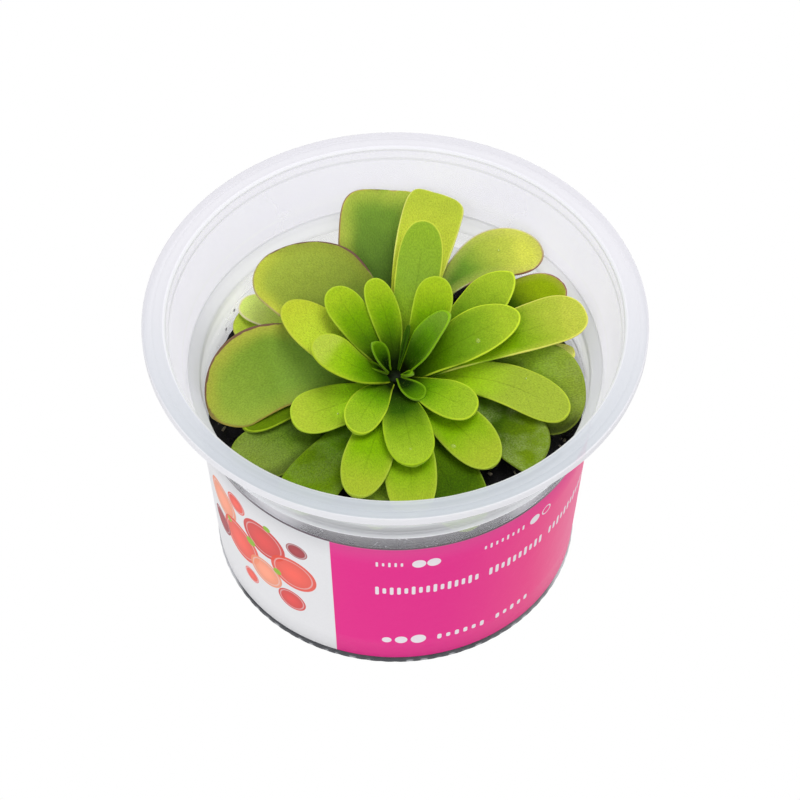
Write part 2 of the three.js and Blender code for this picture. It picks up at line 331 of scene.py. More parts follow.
BARK_CHIP = Mottled(
    "bark_chip", ink(82, 70, 56), ink(146, 138, 116), 0.7, 4, 0.7, spread=(0.3, 0.75), relief=0.2
)
ROOT_BARK = Mottled(
    "rootstock_bark", ink(70, 60, 42), ink(150, 142, 96), 0.7, spread=(0.35, 0.7), squeeze=0.3, relief=0.3
)
# painted shade: the crown's near-black green is partly its own colour and partly the shade deep in the heart
CROWN_SKIN = Mottled(
    "crown", ink(5, 9, 1), ink(18, 32, 3), 0.9, 4, spread=(0.3, 0.7), roughness=(0.4, 0.3), relief=0.2,
    constants={"Specular IOR Level": 0.1},
)
GLAND_SKIN = Mottled(
    "glands", ink(124, 162, 44), ink(160, 196, 70), 1.2, 2, spread=(0.35, 0.65), roughness=(0.25, 0.2),
    constants={"Specular IOR Level": 0.3, "Alpha": 0.4},
)
# painted highlight: the drops' light yellow-green colour stands in for their glints
WATER = Mottled(
    "dew_water", ink(194, 220, 84), ink(222, 238, 124), 0.4, 2, roughness=(0.05, 0.06),
    constants={"Alpha": 0.36, "IOR": 1.33, "Specular IOR Level": 1.0, "Coat Weight": 0.5},
)


# ---- meshes -----------------------------------------------------------------------------


def to_piece(mesh: bmesh.types.BMesh, name: str, material: bpy.types.Material) -> bpy.types.Object:
    """Makes an object in metres of a mesh in millimetres.

    Args:
        mesh: the mesh, which is freed.
        name: the object's name.
        material: its finish.

    Returns:
        The object, at the origin and shaded smooth.
    """
    bmesh.ops.scale(mesh, vec=(MM, MM, MM), verts=mesh.verts)
    for face in mesh.faces:
        face.smooth = True
    data = bpy.data.meshes.new(name)
    mesh.to_mesh(data)
    mesh.free()
    data.materials.append(material)
    piece = bpy.data.objects.new(name, data)
    bpy.context.scene.collection.objects.link(piece)
    return piece


def settle(piece: bpy.types.Object, slot: str, *nodes: str) -> bpy.types.Object:
    """Rides a piece on the body and lets it stand for its nodes.

    Args:
        piece: the piece.
        slot: not used.
        nodes: the nodes that it replaces, if any.

    Returns:
        The piece.
    """
    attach(piece, BODY)
    if nodes:
        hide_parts(*nodes)
    log.info("%s: %d faces", piece.name, len(piece.data.polygons))
    return piece


def rounded(corners: Sequence[tuple[float, float, float]], steps: int = 4) -> list[Point]:
    """An outline whose corners are arcs.

    Args:
        corners: radius, height and rounding of each corner, in order.
        steps: the pieces of each arc.

    Returns:
        The outline's points. A corner without rounding stays one point.
    """
    points: list[Point] = []
    for index, (radius, height, size) in enumerate(corners):
        if size == 0:
            points.append((radius, height))
            continue
        here = Vector((radius, height))
        before = Vector(corners[index - 1][:2])
        after = Vector(corners[(index + 1) % len(corners)][:2])
        start = here + (before - here).normalized() * size
        end = here + (after - here).normalized() * size
        for step in range(steps + 1):
            share = step / steps
            spot = start.lerp(here, share).lerp(here.lerp(end, share), share)
            points.append((spot.x, spot.y))
    return points


def turn_round(outline: Iterable[Point], steps: int, closed: bool = True) -> bmesh.types.BMesh:
    """Spins an outline of radius and height a full turn about the Z axis.

    Args:
        outline: the points, from one end to the other.
        steps: the facets of the turn.
        closed: whether the last point joins the first.

    Returns:
        The solid, with its poles merged and its faces pointing out.
    """
    mesh = bmesh.new()
    verts = [mesh.verts.new((radius, 0, height)) for radius, height in outline]
    edges = [mesh.edges.new(pair) for pair in zip(verts, verts[1:])]
    if closed:
        edges.append(mesh.edges.new((verts[-1], verts[0])))
    bmesh.ops.spin(
        mesh, geom=verts + edges, cent=(0, 0, 0), axis=(0, 0, 1), angle=math.tau, steps=steps, use_merge=True
    )
    bmesh.ops.remove_doubles(mesh, verts=mesh.verts, dist=1e-4)
    bmesh.ops.recalc_face_normals(mesh, faces=mesh.faces)
    return mesh


# ---- the cup ------------------------------------------------------------------------------


@dataclass(frozen=True)
class Speck:
    """A crumb of peat that sticks to the inside of the wall."""

    place: tuple[float, float, float]
    size: float


@dataclass(frozen=True)
class CupSpot:
    """A point of the cup: its place in millimetres, and from 0 to 1 which part it lies on."""

    place: Value
    x: Value
    y: Value
    z: Value
    radius: Value
    degrees: Value                    # of turn from the front
    front: Value
    side: Value
    neck: Value
    slope: Value                      # the short slope inside the step
    flange: Value
    ridge: Value
    lip: Value
    ledge: Value                      # the step's edge at the front
    crease: Value                     # the bend inside, under the ridge
    corner: Value                     # the bend inside, above the slope
    foot: Value


@dataclass(frozen=True)
class FrostedPlastic:
    """Thin milky plastic, denser where it is thicker and where it is seen at a slant, with painted light and
    shade in its colour and a painted glow.
    """

    flange: Colour = ink(222, 221, 227)
    # painted shade: the flange's top is greyer towards the front, and the lip's front face is painted lighter
    # as a highlight
    flange_front_shade: Colour = ink(193, 199, 206)
    lip_front_highlight: Colour = ink(236, 236, 241)
    # lit and shaded copies of the neck: lighter at the sides, a little darker at the back, painted shade low
    # at the front, painted light under the flange
    neck: Colour = ink(240, 237, 251)
    neck_back: Colour = ink(227, 224, 243)
    neck_front_shade: Colour = ink(166, 172, 175)
    neck_under_flange_light: Colour = ink(240, 243, 246)      # painted light under the flange at the front, against the flange's shadow
    # painted shade: the wall darker on its sides, and the step's slope inside grey and darker on the sides
    wall: Colour = ink(239, 238, 244)
    wall_side: Colour = ink(216, 217, 221)
    slope: Colour = ink(206, 207, 212)
    slope_side: Colour = ink(186, 187, 193)
    # painted highlights on the ridge, the step's front edge and a line round the neck
    bright: Colour = ink(236, 236, 241)
    highlight_front: Colour = ink(232, 233, 237)
    # painted shade in the inner bends under the ridge and above the slope
    crease: Colour = ink(208, 209, 215)
    # the foot's ring is painted dark as shade, lighter to its right and at its ends, with painted glints at
    # the notches
    foot: Colour = ink(58, 60, 66)
    foot_lit_side: Colour = ink(124, 124, 130)
    foot_end_light: Colour = ink(198, 199, 204)         # painted light where it is seen end on
    notch_glint: Colour = ink(168, 170, 175)
    damp: Colour = ink(30, 26, 27)
    glow: float = 0.13                # painted light: an emission for the light that the milky plastic passes on
    # painted highlight: a stronger glow along the step's front edge
    ledge_glow: float = 0.26
    turned_glow: float = 0.07         # painted light at the right, which turns away from the lamps
    low_glow: Point = (0.22, 0.12)    # painted light on the low wall at the left, and what the right has more
    wall_depth: float = 0.15          # milkiness of each part for a look straight through
    side_depth: float = 0.2           # what the wall's two sides have more
    corner_depth: float = 0.18        # what the wall has more at its front left and right
    neck_depth: float = 0.26
    slope_depth: float = 0.5
    flange_depth: float = 1.6
    line_depth: float = 1.1
    foot_depth: float = 2.2
    stain_depth: float = 2.6
    slant_limit: float = 0.4          # least cosine of the slant that still adds milkiness
    streak: float = 0.09              # how dark the fine turned streaks are at the front
    painted_shade: float = 0.2                  # painted shade: how much darker the neck is at its front left

    def material(self, cup: "GrowingCup") -> bpy.types.Material:
        """The plastic, for a cup of given heights.

        Args:
            cup: the cup that it belongs to.

        Returns:
            The material.
        """
        paint = Paint("frosted_plastic", {
            "IOR": 1.46, "Coat Weight": 0.08, "Coat Roughness": 0.2, "Specular IOR Level": 0.25,
            "Emission Strength": 1.0,
        })
        spot = self.spot(paint, cup)
        haze = paint.clouds(spot.place, 11.0, 2)
        stain = self.moisture(paint, cup, spot)
        facing = paint.node("ShaderNodeLayerWeight", None, {"Blend": 0.5}).outputs["Facing"]
        slant = 1 / (1 - Value(paint, facing)).most(self.slant_limit)
        depth = self.depth(cup, spot, haze) + self.stain_depth * stain
        paint.feed("Alpha", 1 - paint.math("EXPONENT", 0 - depth * slant))
        colour = paint.blend(spot.foot, self.tone(paint, cup, spot), self.ground(paint, cup, spot))
        paint.feed("Base Color", paint.blend(stain, colour, self.damp))
        light = self.light(cup, spot, stain)
        paint.feed("Emission Color", paint.vector(light, light, light))
        paint.feed("Roughness", 0.34 + 0.2 * haze)
        paint.relief(paint.clouds(spot.place, 1.6, 2), 0.02)
        return paint.material

    def spot(self, paint: Paint, cup: "GrowingCup") -> CupSpot:
        """Works out where on the cup a point lies.

        Args:
            paint: the material in the making.
            cup: the cup that it belongs to.

        Returns:
            The point's place.
        """
        place = paint.place()
        x, y, z = paint.axes(place)
        radius = (x * x + y * y) ** 0.5
        step, top = cup.step_height, cup.rim_top
        front = 1 - y.ramp(-50.0, -10.0)
        neck = z.ramp(step, step + 0.8) * radius.ramp(41.75, 42.05).most(z.ramp(step + 3.0, step + 3.4))
        raised = radius.within(cup.ridge_radius - 0.3, cup.ridge_radius + 0.3, 0.15)
        inner = 1 - radius.ramp(45.15, 45.4)
        edge = z.within(step - 0.12, step + 0.08, 0.1) * radius.ramp(40.8, 41.2)
        bend = z.within(step + 2.95, step + 3.3, 0.12) * (1 - radius.ramp(42.0, 42.3))
        return CupSpot(
            place, x, y, z, radius,
            degrees=paint.math("ARCTAN2", x, 0 - y) * (180 / math.pi),
            front=front,
            side=1 - abs(y).ramp(3.0, 27.0),
            neck=neck,
            slope=z.ramp(step + 0.2, step + 0.9) * (1 - neck),
            flange=radius.ramp(45.6, 46.0) * z.ramp(64.5, 65.1).most(radius.ramp(49.2, 49.6)),
            ridge=raised * z.ramp(top - 1.0, top - 0.5),
            lip=radius.ramp(cup.rim_radius - 0.4, cup.rim_radius - 0.1) * z.ramp(60.0, 62.0),
            ledge=edge * front.ramp(0.15, 0.5),
            crease=z.within(top - 2.95, top - 2.5, 0.2) * inner,
            corner=bend * (1 - front),
            foot=1 - z.ramp(cup.label_low - 0.12, cup.label_low + 0.04),
        )

    def depth(self, cup: "GrowingCup", spot: CupSpot, haze: Value) -> Value:
        """How milky each part is for a look straight through it.

        Args:
            cup: the cup that it belongs to.
            spot: the point's place on the cup.
            haze: the slow noise of the plastic.

        Returns:
            The milkiness.
        """
        high = spot.z.ramp(cup.label_high, cup.label_high + 4.5)
        turned = self.side_depth * spot.side * (0.5 + high) * (0.7 + 0.8 * spot.y.ramp(-10.0, -3.0))
        corners = self.corner_depth * spot.front.ramp(0.2, 0.6) * abs(spot.x - 2.0).ramp(18.0, 26.0)
        wall = self.wall_depth * (0.55 + 0.45 * high) + turned + corners
        clear = wall.to(self.neck_depth, spot.neck).to(self.slope_depth + 0.4 * spot.side, spot.slope)
        lines = spot.ledge.most(spot.crease * 0.5).most(spot.corner * 0.7)
        depth = (clear * (0.88 + 0.24 * haze)).to(self.line_depth, lines)
        return depth.to(self.flange_depth, spot.flange.most(spot.ridge)).to(self.foot_depth, spot.foot)

    def tone(self, paint: Paint, cup: "GrowingCup", spot: CupSpot) -> Value:
        """The plastic's colour from the wall up to the flange, with painted light and shade.

        Args:
            paint: the material in the making.
            cup: the cup that it belongs to.
            spot: the point's place on the cup.

        Returns:
            The colour.
        """
        x, y, z, step = spot.x, spot.y, spot.z, cup.step_height
        shade = spot.front.ramp(0.1, 0.7)
        # Painted shade on the step's slope, darker on the sides and dark at the front, and on the wall's
        # sides.
        inclined = paint.blend(spot.side, self.slope, self.slope_side)
        inclined = paint.blend(shade, inclined, self.neck_front_shade)
        below = paint.blend(spot.slope, paint.blend(spot.side, self.wall, self.wall_side), inclined)
        # At the front the neck is painted dark low down as shade, and lighter under the flange against its
        # shadow.
        shaded = paint.blend(z.ramp(step + 1.6, step + 5.8), self.neck_front_shade, self.neck_under_flange_light)
        lit = paint.blend(y.ramp(10.0, 40.0), self.neck, self.neck_back)
        colour = paint.blend(spot.neck, below, paint.blend(shade, lit, shaded))
        # Painted highlights on a line round the neck and on the step's front edge.
        middle = z.within(54.7, 55.3, 0.4) * (1 - spot.front)
        colour = paint.blend(middle.most(spot.ledge) * 0.9, colour, self.bright)
        # Painted shade: grey lines in the inner bends under the ridge and above the slope.
        colour = paint.blend(spot.crease.most(spot.corner) * 0.85, colour, self.crease)
        # Painted shade: the flange greyer towards the front, with a painted highlight on the lip's front
        # face.
        edge = paint.blend(spot.lip, self.flange_front_shade, self.lip_front_highlight)
        rim = paint.blend(1 - y.ramp(-50.0, 25.0), self.flange, edge)
        colour = paint.blend(spot.flange, colour, rim)
        # Painted highlight on the ridge, a little greyer at the front.
        raised = paint.blend(1 - y.ramp(0.0, 40.0), self.bright, self.highlight_front)
        colour = paint.blend(spot.ridge, colour, raised)
        rings = paint.clouds(paint.vector(spot.radius, 0.0, z * 0.3), 0.8, 3).ramp(0.35, 0.65)
        turned = paint.clouds(paint.vector(x * 0.05, y * 0.05, z * 1.2), 1.1, 3).ramp(0.35, 0.65)
        streaks = self.streak * (1 - spot.lip) * rings.to(turned, 1 - spot.flange)
        # Painted shade: the neck darker at its front left, to take back the front lamp's extra light.
        left_shade = self.painted_shade * spot.neck * (1 - spot.flange) * (0 - x).ramp(6.0, 26.0)
        return paint.shade(colour, 1 - spot.front * (streaks + left_shade))

    def light(self, cup: "GrowingCup", spot: CupSpot, stain: Value) -> Value:
        """Painted light: an emission for the light that the plastic passes on from behind, more on the step's
        front edge, at the right and on the low wall.

        Args:
            cup: the cup that it belongs to.
            spot: the point's place on the cup.
            stain: 1 where damp peat marks the wall.

        Returns:
            The light's strength.
        """
        clear = (1 - spot.foot) * (1 - stain) * (1 - spot.flange.most(spot.ridge)) * self.glow
        clear = clear * (1 - 0.8 * spot.front) * (1 - 0.6 * spot.corner)
        bent = spot.neck.most(spot.slope)
        turned = spot.x.ramp(5.0, 36.0) * (1 - spot.z.ramp(53.0, 60.0)) * bent
        low = spot.z.within(41.5, cup.step_height - 0.6, 0.8) * (1 - bent)
        low = low * (1 - abs(spot.y - 8.0).ramp(8.0, 26.0))
        left, more = self.low_glow
        lit = spot.ledge * self.ledge_glow + turned * self.turned_glow
        return clear + lit + low * (left + more * spot.x.ramp(-5.0, 5.0))

    def ground(self, paint: Paint, cup: "GrowingCup", spot: CupSpot) -> Value:
        """The colour of the foot's ring, painted dark as shade, lighter towards its right and where it is
        seen end on, with painted glints at its notches.

        Args:
            paint: the material in the making.
            cup: the cup that it belongs to.
            spot: the point's place on the cup.

        Returns:
            The colour.
        """
        notch = abs((spot.degrees % cup.notch_pitch) - cup.notch_pitch / 2).ramp(0.9, 1.5)
        lit = paint.clouds(spot.place, 3.0, 2).ramp(0.4, 0.6)
        # Painted light: the ring lighter towards its right and at its ends.
        colour = paint.blend(spot.x.ramp(16.0, 34.0) * 0.8 + lit * 0.12, self.foot, self.foot_lit_side)
        colour = paint.blend(abs(spot.x).ramp(31.2, 34.5) * 0.9, colour, self.foot_end_light)
        return paint.blend(notch * lit * spot.z.within(0.2, 0.62, 0.1) * 0.9, colour, self.notch_glint)

    def moisture(self, paint: Paint, cup: "GrowingCup", spot: CupSpot) -> Value:
        """1 on the broken dark line and specks that damp peat leaves inside the wall.

        Args:
            paint: the material in the making.
            cup: the cup that it belongs to.
            spot: the point's place on the cup.

        Returns:
            The mark, from 0 to 1.
        """
        place, line_height = spot.place, cup.peat_line
        wander = paint.clouds(place, 2.4, 2) - 0.5
        line = (spot.z + wander * 0.8).within(line_height - 0.42, line_height + 0.42, 0.08)
        drawn = paint.clouds(place, 0.9, 2).ramp(0.36, 0.42) * spot.degrees.within(94.0, 112.0, 1.0)
        crumbs = paint.clouds(place, 0.7, 2).ramp(0.68, 0.72)
        near = (spot.z + wander * 4).within(line_height - 1.2, line_height + 1.6, 0.6)
        marks = (line * drawn).most(crumbs * near * 0.7)
        for speck in cup.specks:
            away = paint.distance(place, speck.place) + wander
            marks = marks.most(1 - away.ramp(speck.size * 0.7, speck.size * 1.3))
        return marks * (1 - spot.radius.ramp(39.2, 39.5))


@dataclass
class GrowingCup:
    """The clear cup: foot, tapered wall, stepped neck and flat flange."""

    steps: int = 240
    notch_every: int = 3            # facets from one foot notch to the next
    notch_depth: float = 0.08
    wall: float = 0.9
    body_low: float = 37.3
    body_high: float = 39.82
    label_low: float = 1.6
    label_high: float = 43.0
    foot_radius: float = 38.0
    foot_height: float = 1.3
    base_kick: float = 1.2
    step_height: float = 48.8
    neck_low: float = 42.0
    neck_high: float = 45.7
    rim_radius: float = 50.0
    rim_top: float = 66.0
    rim_lip: float = 1.9
    ridge_radius: float = 45.5
    ridge_rise: float = 0.1
    edge_drop: float = 0.5          # of the flange's inner edge below its top
    peat_line: float = 42.7         # height of the damp mark on the wall
    specks: tuple[Speck, ...] = (Speck((-33.4, 20.0, 44.0), 0.32), Speck((-35.1, 16.7, 41.9), 0.26))
    finish: FrostedPlastic = FrostedPlastic()

    @property
    def notch_pitch(self) -> float:
        """The angle from one foot notch to the next, in degrees."""
        return 360 / self.steps * self.notch_every

    def body_radius(self, height: float) -> float:
        """The outside radius of the wall at a height."""
        share = (height - self.label_low) / (self.label_high - self.label_low)
        return self.body_low + (self.body_high - self.body_low) * share

    def outline(self) -> list[tuple[float, float, float]]:
        """Radius, height and rounding of each corner of the cup's section.

        Returns:
            The corners, from the axis out, up and back in.
        """
        top, lip = self.rim_top, self.rim_top - self.rim_lip
        body_top = self.step_height - 0.2
        neck_top = top - 2.0
        floor = self.base_kick + self.wall
        return [
            (0, self.base_kick, 0),
            (self.foot_radius - 4.5, self.base_kick, 0.5),
            (self.foot_radius - 3.5, 0, 0.3),
            (self.foot_radius, 0, 0.12),
            (self.foot_radius, self.foot_height, 0.2),
            (self.body_low, self.foot_height + 0.2, 0.08),
            (self.body_radius(body_top), body_top, 0.12),
            (self.neck_low, self.step_height, 0.25),
            (self.neck_low + 0.2, self.step_height + 0.9, 0.3),
            (self.neck_high, neck_top - 0.6, 0.5),
            (self.rim_radius - 1.1, neck_top, 0.3),
            (self.rim_radius - 0.9, lip, 0.02),
            (self.rim_radius, lip, 0.2),
            (self.rim_radius, top - 0.05, 0.4),
            (48.5, top - 0.05, 0.1),
            (48.1, top - 0.15, 0.1),
            (47.7, top - 0.05, 0.1),
            (self.ridge_radius + 1.0, top - 0.05, 0.3),
            (self.ridge_radius + 0.4, top + self.ridge_rise, 0.15),
            (self.ridge_radius - 0.2, top + self.ridge_rise - self.edge_drop, 0.2),
            (self.ridge_radius - 0.6, top - 2.6, 0.5),
            (self.neck_low - 0.3, self.step_height + 3.2, 0.5),
            (self.body_radius(self.step_height) - self.wall, self.step_height + 0.8, 0.5),
            (self.body_low - self.wall, floor + 1.2, 0.7),
            (self.body_low - self.wall - 1.2, floor, 0.6),
            (0, floor, 0),
        ]

    def build(self) -> bpy.types.Object:
        """Spins the cup and cuts the notches of its foot.

        Returns:
            The cup.
        """
        mesh = turn_round(rounded(self.outline()), self.steps, closed=False)
        pitch = math.tau / self.steps
        for vert in mesh.verts:
            radius = math.hypot(vert.co.x, vert.co.y)
            facet = round(math.atan2(vert.co.y, vert.co.x) / pitch)
            low = vert.co.z < self.foot_height + 0.05 and radius > self.foot_radius - 1.0
            if low and facet % self.notch_every == 0:
                share = (radius - self.notch_depth) / radius
                vert.co.x *= share
                vert.co.y *= share
        piece = to_piece(mesh, "growing_cup", self.finish.material(self))
        return settle(piece, "clear_plastic", "cup")


# ---- the label ------------------------------------------------------------------------------


@dataclass(frozen=True)
class Mark:
    """A printed disc, at a distance round the label from its front and a height."""

    across: float
    height: float
    size: float


@dataclass(frozen=True)
class BeadRow:
    """A printed row of upright beads with round ends."""

    start: float                      # distance round the label from its front
    height: float
    count: int
    width: float                      # of a bead
    tall: float
    pitch: float                      # from bead to bead


CORAL, RED, WINE, PEACH = ink(232, 84, 68), ink(214, 58, 54), ink(158, 38, 48), ink(240, 150, 118)


@dataclass(frozen=True)
class LabelPrint:
    """The print of the sleeve: a pink field with white marks and a white panel with discs."""

    pink: Colour = ink(231, 46, 142)
    # painted light: the pink lighter and warmer towards the right and lighter near the top, with a painted
    # sheen near the right edge
    lit_pink: Colour = ink(245, 76, 142)
    top_lit_pink: Colour = ink(244, 104, 172)
    sheen: Colour = ink(240, 196, 214)
    paper: Colour = ink(231, 231, 234)
    white: Colour = ink(236, 228, 235)
    back: Colour = ink(226, 227, 232)
    top_edge_shadow: Colour = ink(74, 48, 60)     # painted shadow along the film's upper edge at the front
    lime: Colour = ink(150, 190, 70)
    glow: float = 0.5                 # painted light: an emission on the film's inside for light that comes through it from outside
    soft: float = 0.07                # half the width of a printed edge
    radius: float = 38.9              # of the sleeve, where its marks are measured
    panel_end: float = -18.6          # degrees from the front, where the white panel ends
    panel_start: float = -104.0
    seam: float = 179.5               # degrees from the front, where the sleeve's ends meet
    ring: Mark = Mark(33.1, 37.4, 1.15)
    ring_width: float = 0.3
    dots: tuple[Mark, ...] = (
        Mark(4.6, 37.4, 1.35), Mark(7.5, 37.4, 1.35), Mark(29.8, 37.4, 1.3),
        Mark(-1.8, 8.6, 1.0), Mark(1.2, 8.6, 1.3), Mark(4.8, 8.6, 1.6),
    )
    rows: tuple[BeadRow, ...] = (
        BeadRow(-4.3, 27.6, 15, 0.72, 3.0, 1.44),
        BeadRow(19.0, 27.6, 10, 0.72, 3.0, 1.42),
        BeadRow(34.8, 27.6, 12, 0.72, 3.0, 1.42),
        BeadRow(-4.1, 37.4, 5, 0.46, 1.7, 1.2),
        BeadRow(17.4, 37.4, 8, 0.46, 1.7, 1.25),
        BeadRow(8.3, 8.4, 6, 0.9, 1.9, 1.9),
        BeadRow(21.6, 8.4, 5, 0.9, 1.9, 1.9),
        BeadRow(52.0, 17.4, 7, 0.6, 1.4, 1.3),
    )
    discs: tuple[tuple[Mark, Colour], ...] = (
        (Mark(-42.0, 30.5, 5.2), PEACH), (Mark(-36.5, 22.5, 6.0), CORAL), (Mark(-44.5, 20.0, 3.6), WINE),
        (Mark(-28.5, 31.0, 5.6), RED), (Mark(-29.0, 19.0, 4.4), PEACH), (Mark(-21.5, 25.0, 5.4), CORAL),
        (Mark(-22.5, 14.5, 3.4), RED), (Mark(-36.0, 36.0, 2.8), CORAL), (Mark(-20.0, 34.5, 2.4), WINE),
        (Mark(-34.0, 12.5, 2.2), CORAL),
    )
    green_dots: tuple[Mark, ...] = (
        Mark(-32.5, 26.5, 1.3), Mark(-25.5, 22.5, 1.0), Mark(-40.0, 26.0, 0.8), Mark(-27.0, 36.5, 0.9)
    )

    def material(self, label: "PrintedLabel") -> bpy.types.Material:
        """The printed film, white on its back, for a label of given sizes, with painted light and shade.

        Args:
            label: the label that carries the print.

        Returns:
            The material.
        """
        paint = Paint("label_print", {
            "Coat Weight": 0.02, "Coat Roughness": 0.25, "Specular IOR Level": 0.06, "Emission Strength": 1.0,
        })
        place = paint.place()
        x, y, z = paint.axes(place)
        high = label.cup.label_high
        degrees = paint.math("ARCTAN2", x, 0 - y) * (180 / math.pi)
        across = degrees * (math.pi / 180 * self.radius)
        # Painted light: the pink warmer and lighter to the right and lighter near the top, and a painted
        # sheen near the right edge.
        colour = paint.blend(degrees.ramp(10.0, 62.0), self.pink, self.lit_pink)
        colour = paint.blend(z.ramp(35.0, high) * 0.5, colour, self.top_lit_pink)
        colour = paint.blend(degrees.within(56.0, 90.0, 15.0) * 0.16, colour, self.sheen)
        colour = paint.blend(self.marks(paint, across, z), colour, self.white)
        panel = degrees.within(self.panel_start, self.panel_end, 0.12)
        colour = paint.blend(panel, colour, self.panel_print(paint, across, z))
        outer = ((x * x + y * y) ** 0.5 - z * label.slope - label.middle).ramp(-0.03, 0.03)
        rim = z.ramp(high - 0.26, high - 0.1)
        # Painted shadow along the film's upper edge at the front.
        edge = rim * (1 - y.ramp(-34.0, -8.0))
        colour = paint.blend(outer * (1 - rim), self.back, colour)
        colour = paint.blend(edge * 0.85, colour, self.top_edge_shadow)
        joint = abs(degrees).ramp(self.seam, self.seam + 0.3)
        grain = paint.clouds(place, 0.5, 3)
        paint.feed("Base Color", paint.shade(colour, (0.97 + 0.06 * grain) * (1 - 0.35 * joint)))
        # Painted light: the film's inside glows.
        inside = (1 - outer) * (1 - edge) * self.glow
        paint.feed("Emission Color", paint.vector(inside, inside, inside))
        paint.feed("Roughness", 0.4 + 0.12 * paint.clouds(place, 6.0, 2))
        paint.relief(paint.clouds(place, 2.5, 2), 0.05)
        return paint.material

    def away(self, across: Value, z: Value, mark: Mark) -> Value:
        """The distance to a mark's middle."""
        return ((across - mark.across) ** 2 + (z - mark.height) ** 2) ** 0.5

    def disc(self, across: Value, z: Value, mark: Mark) -> Value:
        """1 on a filled disc."""
        return 1 - self.away(across, z, mark).ramp(mark.size - self.soft, mark.size + self.soft)

    def beads(self, paint: Paint, across: Value, z: Value, row: BeadRow) -> Value:
        """1 on a row's beads, whose heights vary.

        Args:
            paint: the material in the making.
            across: the distance round the label from its front.
            z: the height.
            row: the row.

        Returns:
            The print, from 0 to 1.
        """
        along = (across - row.start) % row.pitch - row.pitch / 2
        order = paint.math("FLOOR", (across - row.start) / row.pitch)
        share = 0.78 + 0.22 * paint.math("SINE", order * 2.4 + row.start)
        rise = (abs(z - row.height) - share * ((row.tall - row.width) / 2)).most(0.0)
        gap = (along * along + rise * rise) ** 0.5
        bead = 1 - gap.ramp(row.width / 2 - self.soft, row.width / 2 + self.soft)
        return bead * across.within(row.start, row.start + row.count * row.pitch, 0.01)

    def marks(self, paint: Paint, across: Value, z: Value) -> Value:
        """1 on the open ring, the dots and the rows of beads.

        Args:
            paint: the material in the making.
            across: the distance round the label from its front.
            z: the height.

        Returns:
            The print, from 0 to 1.
        """
        half = self.ring_width / 2
        ring = self.away(across, z, self.ring)
        marks = ring.within(self.ring.size - half, self.ring.size + half, self.soft)
        for dot in self.dots:
            marks = marks.most(self.disc(across, z, dot))
        for row in self.rows:
            marks = marks.most(self.beads(paint, across, z, row))
        return marks

    def panel_print(self, paint: Paint, across: Value, z: Value) -> Value:
        """The white panel with its overlapping coral discs and green dots.

        Args:
            paint: the material in the making.
            across: the distance round the label from its front.
            z: the height.

        Returns:
            The panel's colour.
        """
        colour: Any = self.paper
        for mark, tone in self.discs:
            away = self.away(across, z, mark)
            inner = paint.blend(away.ramp(0.0, mark.size), lighter(tone, 1.25), tone)
            colour = paint.blend(self.disc(across, z, mark) * 0.93, colour, inner)
            line = away.within(mark.size * 0.8, mark.size * 0.8 + 0.3, self.soft)
            colour = paint.blend(line * 0.4, colour, self.paper)
        for mark in self.green_dots:
            colour = paint.blend(self.disc(across, z, mark), colour, self.lime)
        return colour


@dataclass
class PrintedLabel:
    """The printed sleeve round the cup's wall."""

    cup: GrowingCup
    gap: float = 0.3
    thickness: float = 0.25
    rows: int = 6
    finish: LabelPrint = LabelPrint()

    @property
    def slope(self) -> float:
        """How fast its radius grows with height."""
        return (self.cup.body_high - self.cup.body_low) / (self.cup.label_high - self.cup.label_low)

    @property
    def middle(self) -> float:
        """The radius of the film's mid-surface, if its cone went on down to the floor."""
        return self.cup.body_low - self.cup.label_low * self.slope + self.gap + self.thickness / 2

    def build(self) -> bpy.types.Object:
        """Spins the sleeve as a thin closed band.

        Returns:
            The label.
        """
        cup, low, high = self.cup, self.cup.label_low, self.cup.label_high
        heights = [low + (high - low) * row / self.rows for row in range(self.rows + 1)]
        inside = [(cup.body_radius(height) + self.gap, height) for height in heights]
        outside = [(radius + self.thickness, height) for radius, height in reversed(inside)]
        mesh = turn_round(inside + outside, self.cup.steps)
        piece = to_piece(mesh, "printed_label", self.finish.material(self))
        return settle(piece, "printed_label", "label")


# ---- the growing medium ---------------------------------------------------------------------


@dataclass(frozen=True)
class PeatFinish:
    """Damp black peat with brown fibres and a few pale grains."""

    dark: Colour = ink(5, 4, 6)
    damp: Colour = ink(20, 17, 19)
    fibre: Colour = ink(46, 38, 33)
    pale: Colour = ink(120, 110, 92)
    pale_share: float = 0.72

    def material(self) -> bpy.types.Material:
        """The peat.

        Returns:
            The material.
        """
        paint = Paint("growing_medium_peat", {"Specular IOR Level": 0.2})
        place = paint.place()
        lumps = paint.clouds(place, 1.6, 5, 0.7)
        grains = paint.clouds(place, 0.35, 3, 0.7)
        colour = paint.blend(lumps.ramp(0.35, 0.7), self.dark, self.damp)
        colour = paint.blend(grains.ramp(0.58, 0.72) * 0.6, colour, self.fibre)
        specks = paint.clouds(place, 0.9, 2, 0.5).ramp(self.pale_share, self.pale_share + 0.04)
        colour = paint.blend(specks * 0.8, colour, self.pale)
        paint.feed("Base Color", colour)
        paint.feed("Roughness", 0.55 + 0.4 * lumps)
        paint.relief(lumps * 0.6 + grains * 0.4, 0.5)
        return paint.material


